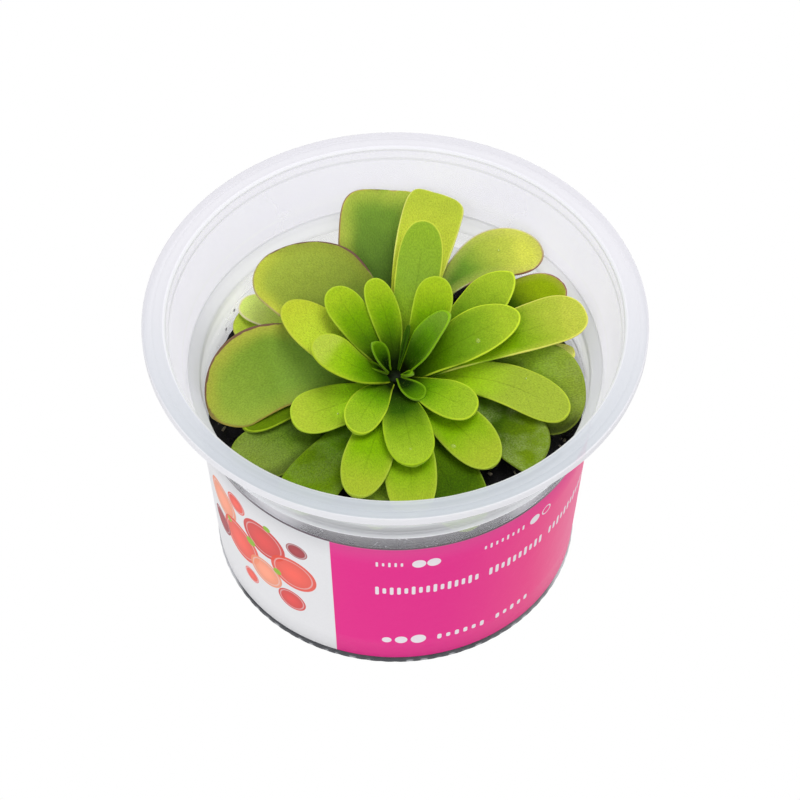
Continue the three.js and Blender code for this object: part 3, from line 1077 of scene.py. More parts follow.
@dataclass
class GrowingMedium:
    """The peat that fills the cup: a lumpy plug, loose crumbs and pale chips."""

    cup: GrowingCup
    seed: int = 21
    level: float = 40.3
    crown: float = 41.3
    clearance: float = 0.3
    lump: float = 1.0
    root_radius: float = 2.3
    root_tip: float = 1.0
    root_bottom: float = 24.0
    steps: int = 200
    rings: int = 44
    crumbs: int = 900
    chips: int = 22
    inner_crumb: float = 6.5          # nearest a crumb lies to the axis
    inner_chip: float = 14.0
    crumb_least: float = 0.22         # radius of the smallest crumb
    crumb_spread: float = 0.62        # what the largest has more
    crumb_bias: float = 2.2           # how few are large
    crumb_uneven: float = 0.22        # how far its corners wander, as a share of its size
    chip_uneven: float = 0.06
    chip_bevel: float = 0.05
    chip_lift: float = 0.12
    loose: tuple[Point, ...] = (
        (23.9, -19.3), (18.9, -19.9), (34.2, -10.6), (35.2, -11.6), (33.0, -12.6), (-34.6, -8.6)
    )                                 # places of single chips
    finish: PeatFinish = PeatFinish()
    chip_finish: Mottled = BARK_CHIP

    def wall(self, height: float) -> float:
        """The radius of the plug beside the cup's wall."""
        return self.cup.body_radius(height) - self.cup.wall - 2 * self.clearance

    def surface(self, x: float, y: float) -> float:
        """The height of the peat at a place.

        Args:
            x: the place's first coordinate.
            y: its second one.

        Returns:
            The height.
        """
        radius = math.hypot(x, y)
        rise = (self.crown - self.level) * ease(34 - radius, 0, 20)
        rough = noise.fractal(Vector((x, y, 3.1)) * 0.28, 0.9, 2.1, 5) * self.lump
        return self.level + rise + min(rough - 0.25, 0.25) * ease(radius, 3.5, 7)

    def build(self) -> list[bpy.types.Object]:
        """Builds the plug, the crumbs and the chips.

        Returns:
            The three pieces.
        """
        material = self.finish.material()
        plug = settle(to_piece(self.plug(), "peat_plug", material), "dark_medium", "growing_medium")
        crumbs = settle(to_piece(self.scatter(), "peat_crumbs", material), "dark_medium")
        chips = settle(to_piece(self.chip_mesh(), "bark_chips", self.chip_finish.material()), "dark_medium")
        return [plug, crumbs, chips]

    def plug(self) -> bmesh.types.BMesh:
        """The body of the peat, with a hole for the rootstock.

        Returns:
            The mesh.
        """
        bottom = self.cup.base_kick + self.cup.wall + self.clearance
        edge = self.wall(self.level)
        hole = self.root_radius + self.clearance
        outline = [
            (0, bottom),
            (self.wall(bottom) - 1.6, bottom),
            (self.wall(bottom) - 0.5, bottom + 0.5),
            (self.wall(bottom + 1.6), bottom + 1.6),
            (self.wall(self.level - 1), self.level - 1),
        ]
        outline += [
            (edge + (hole - edge) * ring / self.rings, self.level) for ring in range(self.rings + 1)
        ]
        outline += [
            (self.root_tip + self.clearance, self.root_bottom - self.clearance),
            (0, self.root_bottom - self.clearance),
        ]
        mesh = turn_round(outline, self.steps, closed=False)
        for vert in mesh.verts:
            if abs(vert.co.z - self.level) < 0.01:
                vert.co.z = self.surface(vert.co.x, vert.co.y)
        return mesh

    def spot(self, draw: random.Random, inner: float, outer: float) -> Vector:
        """A random place on the peat between two radii.

        Args:
            draw: the source of random numbers.
            inner: the smaller radius.
            outer: the larger radius.

        Returns:
            The place, on the peat's surface.
        """
        radius = math.sqrt(draw.uniform(inner**2, outer**2))
        turn = draw.uniform(0, math.tau)
        x, y = radius * math.cos(turn), radius * math.sin(turn)
        return Vector((x, y, self.surface(x, y)))

    def wander(self, draw: random.Random) -> Vector:
        """A random way to shift a corner, up to 1 along each axis."""
        return Vector((draw.uniform(-1, 1), draw.uniform(-1, 1), draw.uniform(-1, 1)))

    def scatter(self) -> bmesh.types.BMesh:
        """Loose crumbs, each a small uneven lump.

        Returns:
            The mesh of all crumbs.
        """
        draw = random.Random(self.seed)
        mesh = bmesh.new()
        for _ in range(self.crumbs):
            size = self.crumb_least + self.crumb_spread * draw.random() ** self.crumb_bias
            spot = self.spot(draw, self.inner_crumb, self.wall(self.level) - 1.1)
            angle = draw.uniform(0, math.tau)
            axis = Vector((draw.random(), draw.random(), 1)).normalized()
            turn = Matrix.Rotation(angle, 4, axis)
            form = Matrix.Diagonal((size * draw.uniform(0.7, 1.5), size, size * draw.uniform(0.5, 0.9), 1))
            made = bmesh.ops.create_icosphere(
                mesh, subdivisions=1, radius=1, matrix=Matrix.Translation(spot) @ turn @ form
            )
            for vert in made["verts"]:
                vert.co += self.wander(draw) * size * self.crumb_uneven
        return mesh

    def chip_mesh(self) -> bmesh.types.BMesh:
        """Flat pale chips with bevelled edges.

        Returns:
            The mesh of all chips.
        """
        draw = random.Random(self.seed + 1)
        mesh = bmesh.new()
        outer = self.wall(self.level) - 1.6
        spots = [self.spot(draw, self.inner_chip, outer) for _ in range(self.chips)]
        spots += [Vector((x, y, self.surface(x, y))) for x, y in self.loose]
        for spot in spots:
            spot += Vector((0, 0, self.chip_lift))
            turn = Matrix.Rotation(draw.uniform(0, math.tau), 4, "Z")
            turn = turn @ Matrix.Rotation(draw.uniform(-0.4, 0.4), 4, "X")
            sizes = (draw.uniform(0.5, 1.2), draw.uniform(0.3, 0.6), draw.uniform(0.2, 0.35))
            form = Matrix.Diagonal((*sizes, 1))
            made = bmesh.ops.create_cube(mesh, size=1, matrix=Matrix.Translation(spot) @ turn @ form)
            for vert in made["verts"]:
                vert.co += self.wander(draw) * self.chip_uneven
        bmesh.ops.bevel(
            mesh, geom=mesh.edges[:], offset=self.chip_bevel, segments=1, profile=0.5, affect="EDGES",
            material=-1,
        )
        return mesh


# ---- the leaves -------------------------------------------------------------------------------


@dataclass(frozen=True)
class BladePoint:
    """What a blade's mesh says of a point, and the noises of its skin there."""

    place: Value
    along: Value                      # share of the length
    offset: Value                     # distance from the midrib, above 0 on the left
    margin: Value                     # distance from the edge
    upper: Value                      # 1 on the upper face
    distance: Value                   # from the foot
    drift: Value
    lumps: Value
    grain: Value
    bent: Value                       # share of the length, with an uneven front


@dataclass(frozen=True)
class LeafSkin:
    """The colours of a leaf from its foot to its tip and from its midrib to its margin; the dark foot is
    partly its own colour and partly painted shade of the heart.
    """

    foot: Colour
    low: Colour
    body: Colour
    tip: Colour
    rim: Colour
    edge: Colour | None = None        # of the band inside the margin, where it isn't the tip's
    stain: Colour | None = None
    stain_width: float = 0.35
    stain_glow: float = 0.15
    places: tuple[float, float, float, float] = (0.12, 0.4, 0.63, 0.9)
    band: float = 2.0                 # width of the lighter band inside the margin
    band_share: float = 0.45
    rim_width: float = 0.26
    rim_share: float = 0.65
    vein: float = 0.2
    vein_pitch: float = 2.7
    mottle: float = 0.2
    grain: float = 0.24
    dust: float = 0.0
    patch: float = 0.0                # how much of a pale patch the tip has
    stain_side: float = 0.0           # 1 where the left margin is stained most, and -1 for the right
    band_side: float = 0.0            # the same for the lighter band
    dark_side: float = 0.0            # the same for a painted shadow along a margin, whose size is how dark it is
    patch_tone: Colour = ink(214, 220, 120)
    dust_tone: Colour = ink(168, 182, 120)
    under_tone: Colour = ink(160, 178, 96)

    def material(self, name: str) -> bpy.types.Material:
        """The skin, which reads what the blade's mesh says of each of its points.

        Args:
            name: the material's name.

        Returns:
            The material.
        """
        paint = Paint(name, {
            "Subsurface Weight": 0.1,
            "Subsurface Radius": (0.4, 0.8, 0.1),
            "Subsurface Scale": 0.0007,
            "Specular IOR Level": 0.04,
        })
        point = self.point(paint)
        veins = self.veins(paint, point)
        shade = (1 - self.vein * veins) * (1 - self.mottle / 2 + self.mottle * point.lumps)
        shade = shade * (1 - self.grain / 2 + self.grain * point.grain)
        colour = paint.shade(self.flesh(paint, point), shade)
        colour = self.edged(paint, point, self.dusted_and_shaded(paint, point, colour))
        paint.feed("Base Color", paint.blend((1 - point.upper) * 0.3, colour, self.under_tone))
        paint.feed("Roughness", 0.45 + 0.16 * point.lumps + 0.06 * point.grain)
        glands = 1 - paint.cells(point.place, 0.34)
        height = glands * 0.3 + point.lumps * 0.5 + point.grain * 0.25 + (1 - veins) * 0.25
        paint.relief(height, 0.12, 0.6)
        return paint.material

    def point(self, paint: Paint) -> BladePoint:
        """Reads what the mesh says of a point.

        Args:
            paint: the material in the making.

        Returns:
            The point.
        """
        place = paint.place()
        names = ("along", "offset", "margin", "upper", "distance")
        along, offset, margin, upper, distance = (paint.attribute(name) for name in names)
        drift = paint.clouds(place, 6.0, 2)
        lumps = paint.clouds(place, 1.5, 4, 0.6)
        fine = paint.clouds(paint.vector(distance * 0.55, offset, 0.0), 0.25, 1, 0.5)
        return BladePoint(
            place, along, offset, margin, upper, distance, drift, lumps,
            grain=fine.ramp(0.28, 0.72), bent=along + (drift - 0.5) * 0.14,
        )

    def flesh(self, paint: Paint, point: BladePoint) -> Value:
        """The colour from foot to tip, with the lighter band inside the margin.

        Args:
            paint: the material in the making.
            point: the point of the blade.

        Returns:
            The colour.
        """
        stops = tuple(zip(self.places, (self.foot, self.low, self.body, self.tip)))
        tones = paint.node("ShaderNodeValToRGB", {"stops": stops}, {"Fac": point.bent})
        colour = Value(paint, tones.outputs["Color"])
        band = 1 - (point.margin + (point.drift - 0.5) * self.band * 0.6).ramp(0.0, self.band)
        if self.band_side:
            band = band * (0.25 + 0.75 * (point.offset * self.band_side).ramp(-5.0, 5.0))
        share = band * self.band_share * point.along.ramp(0.25, 0.6)
        colour = paint.blend(share, colour, self.edge or self.tip)
        if self.patch:
            pale = paint.blend(0.4, self.tip, self.patch_tone)
            colour = paint.blend(point.bent.ramp(0.7, 0.84) * self.patch, colour, pale)
        return colour

    def veins(self, paint: Paint, point: BladePoint) -> Value:
        """1 on the midrib, and less on the slanting side veins.

        Args:
            paint: the material in the making.
            point: the point of the blade.

        Returns:
            The veins' strength.
        """
        along = point.along
        wander = (paint.clouds(point.place, 2.6, 2) - 0.5) * 0.5
        rib = 1 - abs(point.offset + wander * 0.6).ramp(0.04, 0.24)
        rib = rib * along.ramp(0.14, 0.3) * (1 - along.ramp(0.72, 0.86))
        rib = rib * (0.4 + 0.6 * point.lumps.ramp(0.35, 0.6))
        slant = (point.distance - abs(point.offset) * 1.15 + wander * 1.6) % self.vein_pitch
        side = 1 - abs(slant - self.vein_pitch / 2).ramp(0.0, 0.22)
        return rib.most(side * point.margin.ramp(0.8, 2.4) * along.ramp(0.2, 0.4) * 0.35)

    def dusted_and_shaded(self, paint: Paint, point: BladePoint, colour: Value) -> Value:
        """Adds the pale dust, and a painted shadow along one side of the older leaves.

        Args:
            paint: the material in the making.
            point: the point of the blade.
            colour: the skin's colour so far.

        Returns:
            The colour.
        """
        if self.dust:
            zone = paint.clouds(point.place, 5.0, 2).ramp(0.38, 0.6)
            specks = zone * (0.35 + 0.65 * paint.clouds(point.place, 0.3, 1).ramp(0.42, 0.62))
            colour = paint.blend(specks * self.dust, colour, self.dust_tone)
        # Painted shadow along one margin, where a neighbouring leaf shades it.
        if self.dark_side:
            reach = (point.offset * math.copysign(1.0, self.dark_side)).ramp(0.0, 5.0)
            painted_shade = reach * (1 - point.margin.ramp(0.6, 4.0))
            colour = paint.shade(colour, 1 - 0.6 * abs(self.dark_side) * painted_shade)
        return colour

    def edged(self, paint: Paint, point: BladePoint, colour: Value) -> Value:
        """Adds the fine light rim, partly the margin's own paler colour and partly painted light shining
        through it, and the margin's stain where the leaf has one.

        Args:
            paint: the material in the making.
            point: the point of the blade.
            colour: the skin's colour so far.

        Returns:
            The colour.
        """
        margin, width = point.margin, self.stain_width
        # The light rim: partly the margin's own paler colour, partly painted light through the thin edge.
        line = 1 - margin.ramp(self.rim_width * 0.6, self.rim_width * 1.8)
        colour = paint.blend(line * self.rim_share, colour, self.rim)
        if not self.stain:
            return colour
        wobble = paint.clouds(point.place, 3.2, 2).ramp(0.3, 0.62)
        mark = 1 - (margin - (wobble - 0.5) * width * 0.7).ramp(width * 0.7, width * 1.5)
        glow = (1 - margin.ramp(0.2, 2.2)) * self.stain_glow * wobble
        marked = (mark * 0.9).most(glow) * point.along.ramp(0.3, 0.55)
        if self.stain_side:
            marked = marked * (0.35 + 0.65 * (point.offset * self.stain_side).ramp(-4.0, 4.0))
        return paint.blend(marked, colour, self.stain)


PURPLE = ink(104, 62, 70)
LOW_TIP = (0.12, 0.45, 0.72, 0.95)      # a leaf whose dark foot reaches far out


def skin(*tones: tuple[int, int, int], **options: Any) -> LeafSkin:
    """A leaf's finish from its five screen colours: foot, low, body, tip and rim."""
    return LeafSkin(*(ink(*tone) for tone in tones), **options)


class Skin(Enum):
    """The finishes that the leaves take, from the heart outward."""

    BUD = skin(
        (5, 21, 0), (16, 41, 0), (59, 101, 1), (88, 133, 1), (124, 170, 24), rim_width=0.3, vein=0.0,
        band=0.8,
    )
    THIN = skin((8, 18, 0), (20, 40, 0), (34, 62, 0), (48, 82, 4), (60, 101, 4))
    SPROUT = skin((12, 19, 0), (48, 88, 0), (94, 144, 12), (123, 162, 45), (143, 196, 12))
    HEART = skin((13, 28, 0), (76, 116, 1), (112, 156, 2), (156, 185, 29), (184, 210, 58))
    PALE_TIP = skin((37, 71, 0), (98, 146, 1), (142, 184, 15), (167, 190, 44), (176, 197, 37), patch=0.45)
    ROOTED = skin((7, 20, 0), (51, 88, 1), (122, 160, 19), (155, 185, 41), (171, 204, 35))
    YOUNG = skin((16, 30, 0), (94, 143, 1), (138, 177, 25), (152, 182, 41), (198, 223, 51))
    FRESH = skin((48, 73, 0), (131, 182, 1), (128, 173, 5), (163, 182, 46), (178, 199, 67))
    BRIGHT = skin((90, 138, 10), (173, 229, 27), (153, 185, 37), (172, 192, 53), (186, 216, 59))
    LEMON = skin((79, 114, 13), (143, 176, 31), (191, 214, 56), (183, 196, 50), (190, 198, 67))
    ARCHED = skin((59, 94, 0), (154, 202, 1), (121, 161, 6), (182, 191, 67), (243, 237, 119))
    GROWN = skin((94, 144, 0), (168, 211, 26), (155, 177, 52), (159, 178, 57), (198, 217, 61))
    INNER = skin((42, 71, 0), (83, 124, 1), (117, 156, 25), (159, 185, 43), (221, 244, 60))
    YELLOW = skin(
        (167, 183, 45), (198, 209, 59), (198, 209, 63), (173, 188, 57), (231, 232, 126), vein=0.05,
    )
    TALL = skin((59, 91, 8), (135, 170, 31), (131, 164, 48), (137, 170, 43), (226, 230, 79))
    # Painted light: lighter than the leaf's own colours, to make up for the shade of the leaf above it.
    PALE = skin(
        (158, 200, 60), (184, 222, 71), (206, 233, 80), (227, 246, 128), (243, 219, 207), vein=0.08,
        grain=0.14,
    )
    OLIVE = skin((113, 150, 25), (144, 182, 31), (159, 193, 46), (193, 216, 70), (180, 174, 94), vein=0.1)
    UNDER = skin((55, 82, 1), (74, 99, 1), (83, 110, 1), (96, 125, 7), (176, 204, 43))
    BROAD = skin(
        (29, 49, 6), (58, 87, 26), (88, 120, 41), (113, 147, 50), (214, 200, 87), edge=ink(174, 189, 72),
        stain=ink(150, 112, 88), stain_width=0.2, stain_side=1.0, band=5.0, band_share=0.85, mottle=0.2,
    )
    EDGED = skin(
        (56, 78, 19), (93, 117, 34), (129, 146, 51), (152, 168, 61), (202, 186, 131),
        edge=ink(192, 198, 66), stain=PURPLE, stain_side=-1.0, band=4.5, band_share=0.85, band_side=1.0,
        mottle=0.22, vein=0.06, dark_side=-0.3,
    )
    WIDE = skin(
        (79, 111, 25), (137, 173, 68), (122, 153, 50), (145, 171, 61), (208, 182, 77),
        edge=ink(190, 188, 72), stain=PURPLE, stain_side=-1.0, band=4.5, band_share=0.8, band_side=-1.0,
        mottle=0.18, vein=0.06,
    )
    FLUSHED = skin(
        (38, 66, 29), (64, 99, 35), (109, 148, 45), (206, 210, 81), (250, 246, 215),
        edge=ink(206, 208, 104), stain=ink(140, 74, 66), stain_width=0.3, stain_side=-1.0, band=3.0,
        vein=0.05,
    )
    # Painted shade: its dark foot and low part reach far up the blade.
    BLUSHED = skin(
        (11, 30, 0), (29, 58, 1), (53, 85, 1), (141, 165, 10), (226, 204, 135), edge=ink(176, 182, 50),
        stain=ink(150, 92, 96), stain_width=0.24, places=(0.2, 0.56, 0.72, 0.87), band=2.4,
    )
    SHADED = skin(
        (50, 79, 0), (82, 124, 1), (79, 108, 2), (106, 138, 8), (105, 131, 18), mottle=0.32, dust=0.12,
        grain=0.45,
    )
    MATT = skin(
        (33, 52, 6), (65, 95, 10), (92, 123, 29), (118, 139, 48), (119, 138, 39), mottle=0.34, dust=0.1,
        grain=0.5, dark_side=0.9,
    )
    DEEP = skin(
        (48, 76, 0), (82, 117, 1), (61, 92, 1), (100, 129, 8), (137, 163, 56), mottle=0.34,
        places=LOW_TIP, grain=0.45,
    )
    DUSTED = skin(
        (59, 94, 0), (99, 142, 1), (57, 86, 1), (107, 134, 10), (98, 114, 22), mottle=0.34, dust=0.36,
        grain=0.4,
    )
    DULL = skin(
        (87, 122, 16), (104, 136, 25), (133, 165, 41), (134, 154, 52), (140, 156, 48), mottle=0.3,
        places=LOW_TIP, dust=0.16, dark_side=-1.35, grain=0.4, rim_share=0.35,
    )
    # Painted light: lighter than the leaf's own colours, to make up for the shade of the leaf above it.
    STRAW = skin((165, 199, 52), (227, 253, 77), (253, 255, 98), (255, 255, 142), (255, 254, 103))


@dataclass(frozen=True)
class Leaf:
    """One leaf: how its blade leaves the crown, bends and widens. Angles are degrees."""

    name: str
    skin: Skin
    heading: float
    length: float
    width: float
    rise: float
    droop: float
    swing: float
    twist: float
    widest: float = 0.66
    blunt: float = 2.3
    curl: float = 0.12
    wave: float = 0.25                # how far the margins ripple up and down
    skew: float = 0.0                 # how much wider the blade is on its left side
    lean: float = 0.0                 # how much later the left side is widest
    lift: float = 0.0                 # rise of its foot above the whorl's
    taper: float = 1.35               # how long the blade stays narrow from its foot
    stain: float = 0.0                # width of a stained edge, where it isn't the skin's own

    start: float = 1.5
    petiole: float = 0.3
    tip_width: float = 0.08
    middle: float = 1.0               # thickness along the midrib
    edge: float = 0.6                 # thickness at the margin
    groove_depth: float = 0.14        # of the midrib's groove
    groove_width: float = 0.6
    ripple: float = 9.5               # radians of the margin's ripple along the blade
    ripple_turn: float = 0.37         # of the ripple's start for each degree of heading
    ripple_lag: float = 1.9           # of the left margin behind the right
    rows: int = 30
    row_bias: float = 1.8             # how much closer the rows lie towards the tip
    columns: int = 12
    samples: int = 120                # steps along the midrib
    margin_steps: int = 60

    def half(self, share: float, side: float = 1.0) -> float:
        """The blade's width on its left (side above 0) or right, at a share of its length.

        Args:
            share: the share of the length.
            side: above 0 for the left side.

        Returns:
            Half the blade's width, on that side.
        """
        turn = 1 if side > 0 else -1
        widest, width = self.widest + turn * self.lean, self.width / 2 * (1 + turn * self.skew)
        if share < widest:
            grown = math.sin(math.pi / 2 * share / widest) ** self.taper
            return (self.petiole + (1 - self.petiole) * grown) * width
        past = min(1.0, (share - widest) / (1 - widest))
        return max(self.tip_width, (1 - past**self.blunt) ** (1 / self.blunt)) * width

    def directions(self, share: float) -> tuple[Vector, Vector, Vector]:
        """The blade's ways along, sideways and up at a share of its length.

        Args:
            share: the share of the length.

        Returns:
            The three ways, each of length 1.
        """
        turn = math.radians(self.heading + self.swing * share)
        climb = math.radians(self.rise - self.droop * share)
        along = Vector((math.cos(climb) * math.cos(turn), math.cos(climb) * math.sin(turn), math.sin(climb)))
        side = Vector((-math.sin(turn), math.cos(turn), 0))
        side = Matrix.Rotation(math.radians(self.twist * share), 3, along) @ side
        return along, side, along.cross(side)

    def midrib(self, base: float) -> list[Vector]:
        """Points along the midrib, evenly spaced from foot to tip.

        Args:
            base: the whorl's height.

        Returns:
            The points.
        """
        turn = math.radians(self.heading)
        place = Vector((self.start * math.cos(turn), self.start * math.sin(turn), base + self.lift))
        points = [place.copy()]
        for step in range(self.samples):
            place += self.directions((step + 0.5) / self.samples)[0] * (self.length / self.samples)
            points.append(place.copy())
        return points

    def margin_line(self, side: float) -> list[Point]:
        """The margin of the flat blade, on one side, tip included.

        Args:
            side: above 0 for the left side.

        Returns:
            Length and half width of each point.
        """
        steps = self.margin_steps
        spots = [1 - (1 - step / steps) ** 2 for step in range(steps + 1)]
        line = [(share * self.length, self.half(share, side)) for share in spots]
        return [*line, (self.length, 0.0)]

    def spot(self, rib: Sequence[Vector], share: float, across: float, upper: bool) -> Vector:
        """A point of the blade.

        Args:
            rib: the midrib's points.
            share: the share of the length.
            across: from -1 at one margin to 1 at the other.
            upper: whether the point is on the upper face.

        Returns:
            Its place.
        """
        exact = share * self.samples
        first = min(self.samples - 1, int(exact))
        place = rib[first].lerp(rib[first + 1], exact - first)
        _, side, up = self.directions(share)
        half = self.half(share, across)
        phase = self.heading * self.ripple_turn + (self.ripple_lag if across > 0 else 0)
        ripple = self.wave * math.sin(share * self.ripple + phase) * abs(across) ** 3
        hollow = math.exp(-((half * across / self.groove_width) ** 2))
        groove = -self.groove_depth * hollow * ease(share, 0.05, 0.3) * (1 - ease(share, 0.7, 1))
        swell = noise.noise(place * 0.22 + side * across) * 0.5 * self.wave
        lift = self.curl * half * across**2 + ripple * ease(share, 0.15, 0.6) + groove + swell
        thick = (self.middle + (self.edge - self.middle) * abs(across)) / 2
        return place + side * half * across + up * (lift + (thick if upper else -thick))

    def stand(self, rib: Sequence[Vector], share: float, across: float) -> Matrix:
        """The place of something that stands on the upper face, pointing away from it.

        Args:
            rib: the midrib's points.
            share: the share of the length.
            across: from -1 at one margin to 1 at the other.

        Returns:
            The place and its turn.
        """
        here = self.spot(rib, share, across, True)
        ahead = self.spot(rib, share + 0.01, across, True) - here
        aside = self.spot(rib, share, across + 0.03, True) - here
        turn = ahead.cross(aside).to_track_quat("Z", "Y").to_matrix().to_4x4()
        return Matrix.Translation(here) @ turn

    def build(self, base: float) -> bpy.types.Object:
        """Makes the blade from a grid of two faces, with what its skin reads at each point.

        Args:
            base: the whorl's height.

        Returns:
            The blade.
        """
        mesh = bmesh.new()
        bmesh.ops.create_grid(mesh, x_segments=self.rows, y_segments=self.columns, size=0.5)
        names = ("along", "across", "offset", "distance", "margin", "upper")
        along, across, offset, distance, margin, upper = (mesh.verts.layers.float.new(n) for n in names)
        for vert in mesh.verts:
            vert[along] = 1 - (1 - (vert.co.x + 0.5)) ** self.row_bias
            vert[across] = vert.co.y * 2
        grown = bmesh.ops.extrude_face_region(mesh, geom=mesh.faces[:], use_keep_orig=True)
        for part in grown["geom"]:
            if isinstance(part, bmesh.types.BMVert):
                part[upper] = 1.0
        rib = self.midrib(base)
        lines = {True: self.margin_line(1), False: self.margin_line(-1)}
        for vert in mesh.verts:
            share, sideways = vert[along], vert[across]
            flat = (share * self.length, abs(sideways) * self.half(share, sideways))
            vert[offset] = math.copysign(flat[1], sideways)
            vert[distance] = flat[0]
            vert[margin] = min(math.dist(flat, spot) for spot in lines[sideways > 0])
            vert.co = self.spot(rib, share, sideways, vert[upper] > 0.5)
        bmesh.ops.recalc_face_normals(mesh, faces=mesh.faces)
        skin = self.skin.value
        if self.stain and skin.stain:
            skin = replace(skin, stain_width=self.stain)
        piece = to_piece(mesh, self.name, skin.material(f"{self.name}_skin"))
        smooth = piece.modifiers.new("smooth", "SUBSURF")
        smooth.levels = smooth.render_levels = 1
        return piece


@dataclass(frozen=True)
class Glands:
    """The fine stalked glands on the upper faces of a whorl's leaves."""

    count: int
    seed: int = 5
    stalk: float = 0.1
    bead: float = 0.036
    sink: float = 0.1
    finish: Mottled = GLAND_SKIN

    def build(self, whorl: "Whorl") -> bpy.types.Object:
        """Copies one gland to every stand on the whorl's leaves.

        Args:
            whorl: the whorl.

        Returns:
            The glands, as one piece.
        """
        stands = self.stands(whorl)
        mesh = bmesh.new()
        height = self.stalk + self.sink
        foot = Matrix.Translation((0, 0, height / 2 - self.sink))
        bmesh.ops.create_cone(
            mesh, cap_ends=False, segments=3, radius1=self.bead * 0.5, radius2=self.bead * 0.25,
            depth=height, matrix=foot,
        )
        top = Matrix.Translation((0, 0, self.stalk))
        bmesh.ops.create_uvsphere(mesh, u_segments=4, v_segments=2, radius=self.bead, matrix=top)
        order = mesh.verts.layers.int.new("order")
        total = 1
        while total < len(stands):
            grown = bmesh.ops.duplicate(mesh, geom=mesh.verts[:] + mesh.edges[:] + mesh.faces[:])
            for part in grown["geom"]:
                if isinstance(part, bmesh.types.BMVert):
                    part[order] += total
            total *= 2
        spare = [vert for vert in mesh.verts if vert[order] >= len(stands)]
        bmesh.ops.delete(mesh, geom=spare, context="VERTS")
        for vert in mesh.verts:
            vert.co = stands[vert[order]] @ vert.co
        name = f"{whorl.node}_glands"
        piece = to_piece(mesh, name, replace(self.finish, name=name).material())
        return settle(piece, whorl.slot)

    def stands(self, whorl: "Whorl") -> list[Matrix]:
        """Where each gland stands and which way it points, evenly over the blades.

        Args:
            whorl: the whorl.

        Returns:
            A place and its turn for each gland.
        """
        draw = random.Random(self.seed)
        area = sum(leaf.length * leaf.width for leaf in whorl.leaves)
        stands: list[Matrix] = []
        for leaf in whorl.leaves:
            rib = leaf.midrib(whorl.base)
            for _ in range(round(self.count * leaf.length * leaf.width / area)):
                share, across = draw.uniform(0.2, 0.97), draw.uniform(-0.9, 0.9)
                while draw.random() > leaf.half(share, across) / leaf.width * 1.5:
                    share, across = draw.uniform(0.2, 0.97), draw.uniform(-0.9, 0.9)
                stands.append(leaf.stand(rib, share, across))
        return stands


@dataclass(frozen=True)
class Bead:
    """A drop of water on a leaf, at a share of its length and of its half width."""

    leaf: str
    share: float
    across: float
    size: float


@dataclass(frozen=True)
class Dew:
    """The few drops of water that lie on the leaves."""

    beads: tuple[Bead, ...] = (
        Bead("middle_leaf_right_inner", 0.65, -0.35, 0.62),
        Bead("middle_leaf_front_right", 0.7, -0.72, 0.6),
        Bead("middle_leaf_right", 0.69, 0.54, 0.3),
        Bead("heart_leaf_front", 0.83, -0.06, 0.34),
        Bead("outer_leaf_back_right", 0.8, 0.3, 0.36),
        Bead("middle_leaf_left", 0.6, 0.4, 0.3),
    )
    flat: float = 0.5
    finish: Mottled = WATER

    def build(self, whorls: Sequence["Whorl"]) -> bpy.types.Object:
        """Sets each drop on its leaf.

        Args:
            whorls: the whorls with the leaves.

        Returns:
            The drops, as one piece.
        """
        mesh = bmesh.new()
        for whorl in whorls:
            for leaf in whorl.leaves:
                rib = leaf.midrib(whorl.base)
                for bead in self.beads:
                    if bead.leaf == leaf.name:
                        form = Matrix.Diagonal((bead.size, bead.size * 0.8, bead.size * self.flat, 1))
                        stand = leaf.stand(rib, bead.share, bead.across) @ form
                        bmesh.ops.create_icosphere(mesh, subdivisions=3, radius=1, matrix=stand)
        return settle(to_piece(mesh, "dew_drops", self.finish.material()), "grown_leaf")


@dataclass(frozen=True)
class Whorl:
    """A ring of leaves round a short collar of the crown."""

    node: str
    slot: str
    base: float
    bottom: float
    top: float
    radius: float
    bore: float
    leaves: tuple[Leaf, ...]
    glands: Glands

    def build(self) -> None:
        """Builds the collar, every leaf and their glands."""
        for leaf in self.leaves:
            settle(leaf.build(self.base), self.slot, self.node)
        soft = 0.1 if self.bore else 0
        outline = rounded([
            (self.bore, self.bottom, soft),
            (self.radius - 1.2, self.bottom, 0.4),
            (self.radius - 0.8, (self.bottom + self.top) / 2, 0.5),
            (self.radius - 1.4, self.top - 0.4, 0.4),
            (self.bore, self.top, soft),
        ], 3)
        band = turn_round(outline, 32, closed=self.bore > 0)
        finish = replace(CROWN_SKIN, name=f"{self.node}_crown")
        collar = to_piece(band, f"{self.node}_collar", finish.material())
        settle(collar, self.slot, self.node)
        self.glands.build(self)


